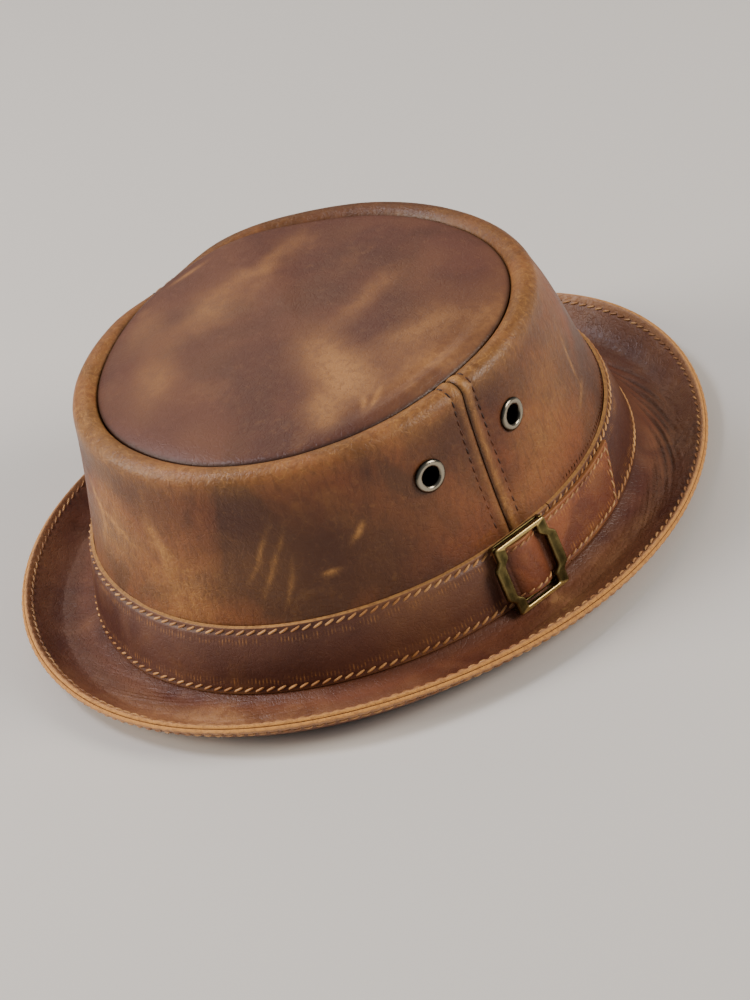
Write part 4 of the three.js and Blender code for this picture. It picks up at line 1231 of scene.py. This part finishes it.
seat = band_point(np.array([BUCKLE_PLACE]), [0.5])[0] + seat_up * BUCKLE_SHIFT
local = np.concatenate(buckle_points)
placed = seat + local[:, :1] * seat_right + local[:, 1:2] * seat_up + local[:, 2:] * seat_out
buckle_mesh = bpy.data.meshes.new("slide_buckle")
buckle_mesh.from_pydata((placed * MM).tolist(), [], buckle_faces)
buckle_mesh.attributes.new("worn", "FLOAT", "POINT").data.foreach_set("value", np.concatenate(buckle_worn))
buckle_mesh.shade_smooth()
buckle = bpy.data.objects.new("slide_buckle", buckle_mesh)
bpy.context.scene.collection.objects.link(buckle)
brass = antique_brass("antique brass, cast", "#675c38", "#403a22", "#c9b070")
finish_piece(buckle, "buckle", brass)

# Vents
# Two-part eyelets of darkened nickel: a domed ring outside, a barrel through the leather
# and a clinched washer inside.
EYELET_SIDES = 64
EYELET_HOLE = 3.0
# Half section of the eyelet: distance from its middle and height over the wall
EYELET_PROFILE = np.array([
    (3.7, -2.45), (3.7, 0.25), (5.35, 0.22), (5.58, 0.32), (5.62, 0.5), (5.5, 0.8), (5.2, 1.1),
    (4.75, 1.33), (4.3, 1.4), (3.85, 1.33), (3.45, 1.1), (3.2, 0.8), (3.05, 0.4), (EYELET_HOLE, 0.0),
    (EYELET_HOLE, -3.25), (4.8, -3.25), (4.8, -2.45)])
# Cloudy spots of the blackening in a millimetre
NICKEL_SPOTS = 0.9


def darkened_nickel(name, dark, bright):
    """Nickel plate blackened and buffed: bright on the crest of the ring, half bright in the bore as a
    painted reflection.
    """
    material, tree, place = new_material(name)
    worn = put(tree, "Attribute", out="Fac", attribute_name="worn")
    spots = put(tree, "TexNoise", {"Vector": place, "Scale": NICKEL_SPOTS / MM, "Detail": 3.0})
    rough = put(tree, "MapRange", {0: spots, 1: 0.3, 2: 0.7, 3: 0.16, 4: 0.26})
    # worn brightens the metal: buffing on the ring's crest, a painted reflection in the bore
    tint = put(tree, "Mix", {0: worn, 6: linear(dark), 7: linear(bright)}, **COLOURS)
    shader = put(tree, "BsdfPrincipled", {"Base Color": tint, "Metallic": 1.0, "Roughness": rough})
    put(tree, "OutputMaterial", {"Surface": shader})
    return material


nickel = darkened_nickel("nickel, darkened and buffed", "#37342c", "#a39b8a")
turn = np.arange(EYELET_SIDES) * 2 * np.pi / EYELET_SIDES
for node, place in VENTS.items():
    middle, right, up, out = vent_frame(place)
    ring = np.cos(turn)[:, None] * right + np.sin(turn)[:, None] * up
    points = middle + ring[None] * EYELET_PROFILE[:, None, :1] + out * EYELET_PROFILE[:, None, 1:]
    index = np.arange(points.shape[0] * EYELET_SIDES).reshape(-1, EYELET_SIDES)
    below, beside = np.roll(index, -1, axis=0), np.roll(index, -1, axis=1)
    faces = np.stack([index, beside, np.roll(beside, -1, axis=0), below], -1).reshape(-1, 4)
    reach, level = EYELET_PROFILE.T
    barrel = (reach == EYELET_HOLE) & (level < 0.1)
    # Bright on the buffed crest; the barrel is half bright as a painted reflection of its lit inner wall
    crest = np.repeat(smooth(level, 0.9, 1.35) + 0.5 * barrel, EYELET_SIDES)
    ring_piece = link_piece(node + "_ring", points.reshape(-1, 3), faces, {"worn": crest}, sharp=60)
    finish_piece(ring_piece, node, nickel)

# Floor and light
# A pale plain matt floor. Two large soft lights do the work, one at the wearer's right front
# and one at the left back, with two weaker ones on the right and a dim even sky.
FLOOR_HALF = 6
floor_mesh = bpy.data.meshes.new("floor")
floor_corners = [(x * FLOOR_HALF, y * FLOOR_HALF, 0) for x, y in ((-1, -1), (1, -1), (1, 1), (-1, 1))]
floor_mesh.from_pydata(floor_corners, [], [(0, 1, 2, 3)])
floor = bpy.data.objects.new("floor", floor_mesh)
bpy.context.scene.collection.objects.link(floor)
floor_paint = bpy.data.materials.new("matt white paint, floor")
floor_paint.use_nodes = True
floor_shader = floor_paint.node_tree.nodes["Principled BSDF"]
floor_shader.inputs["Base Color"].default_value = linear("#d9d6d0")
floor_shader.inputs["Roughness"].default_value = 0.9
floor_mesh.materials.append(floor_paint)

world = bpy.data.worlds.new("studio")
world.use_nodes = True
sky = world.node_tree.nodes["Background"]
sky.inputs["Color"].default_value = linear("#e8ebf0")
sky.inputs["Strength"].default_value = 0.3
bpy.context.scene.world = world
# Places and sizes in metres, powers in watts: each faces a point 4 cm over the floor
LIGHTS = [
    dict(name="key", place=(-0.82, -1.1, 0.72), size=0.7, power=20, colour="#fff3e4"),
    dict(name="side", place=(1.15, 0.8, 0.85), size=0.7, power=21, colour="#fff4e8"),
    dict(name="back", place=(-0.95, 0.45, 0.95), size=0.6, power=1.8, colour="#ffe9d0"),
    dict(name="high", place=(-0.6, -0.4, 1.15), size=0.35, power=8, colour="#f2f3ff"),
]
LIT_POINT = (0, 0, 0.04)
for light in LIGHTS:
    lamp = bpy.data.lights.new(light["name"], "AREA")
    lamp.size = light["size"]
    lamp.energy = light["power"]
    lamp.color = linear(light["colour"])[:3]
    lit = bpy.data.objects.new(light["name"], lamp)
    away = np.array(light["place"]) - LIT_POINT
    away /= np.linalg.norm(away)
    side = np.cross((0, 0, 1), away)
    side /= np.linalg.norm(side)
    turned = Matrix((side, np.cross(away, side), away)).transposed().to_4x4()
    lit.matrix_world = Matrix.Translation(light["place"]) @ turned
    bpy.context.scene.collection.objects.link(lit)
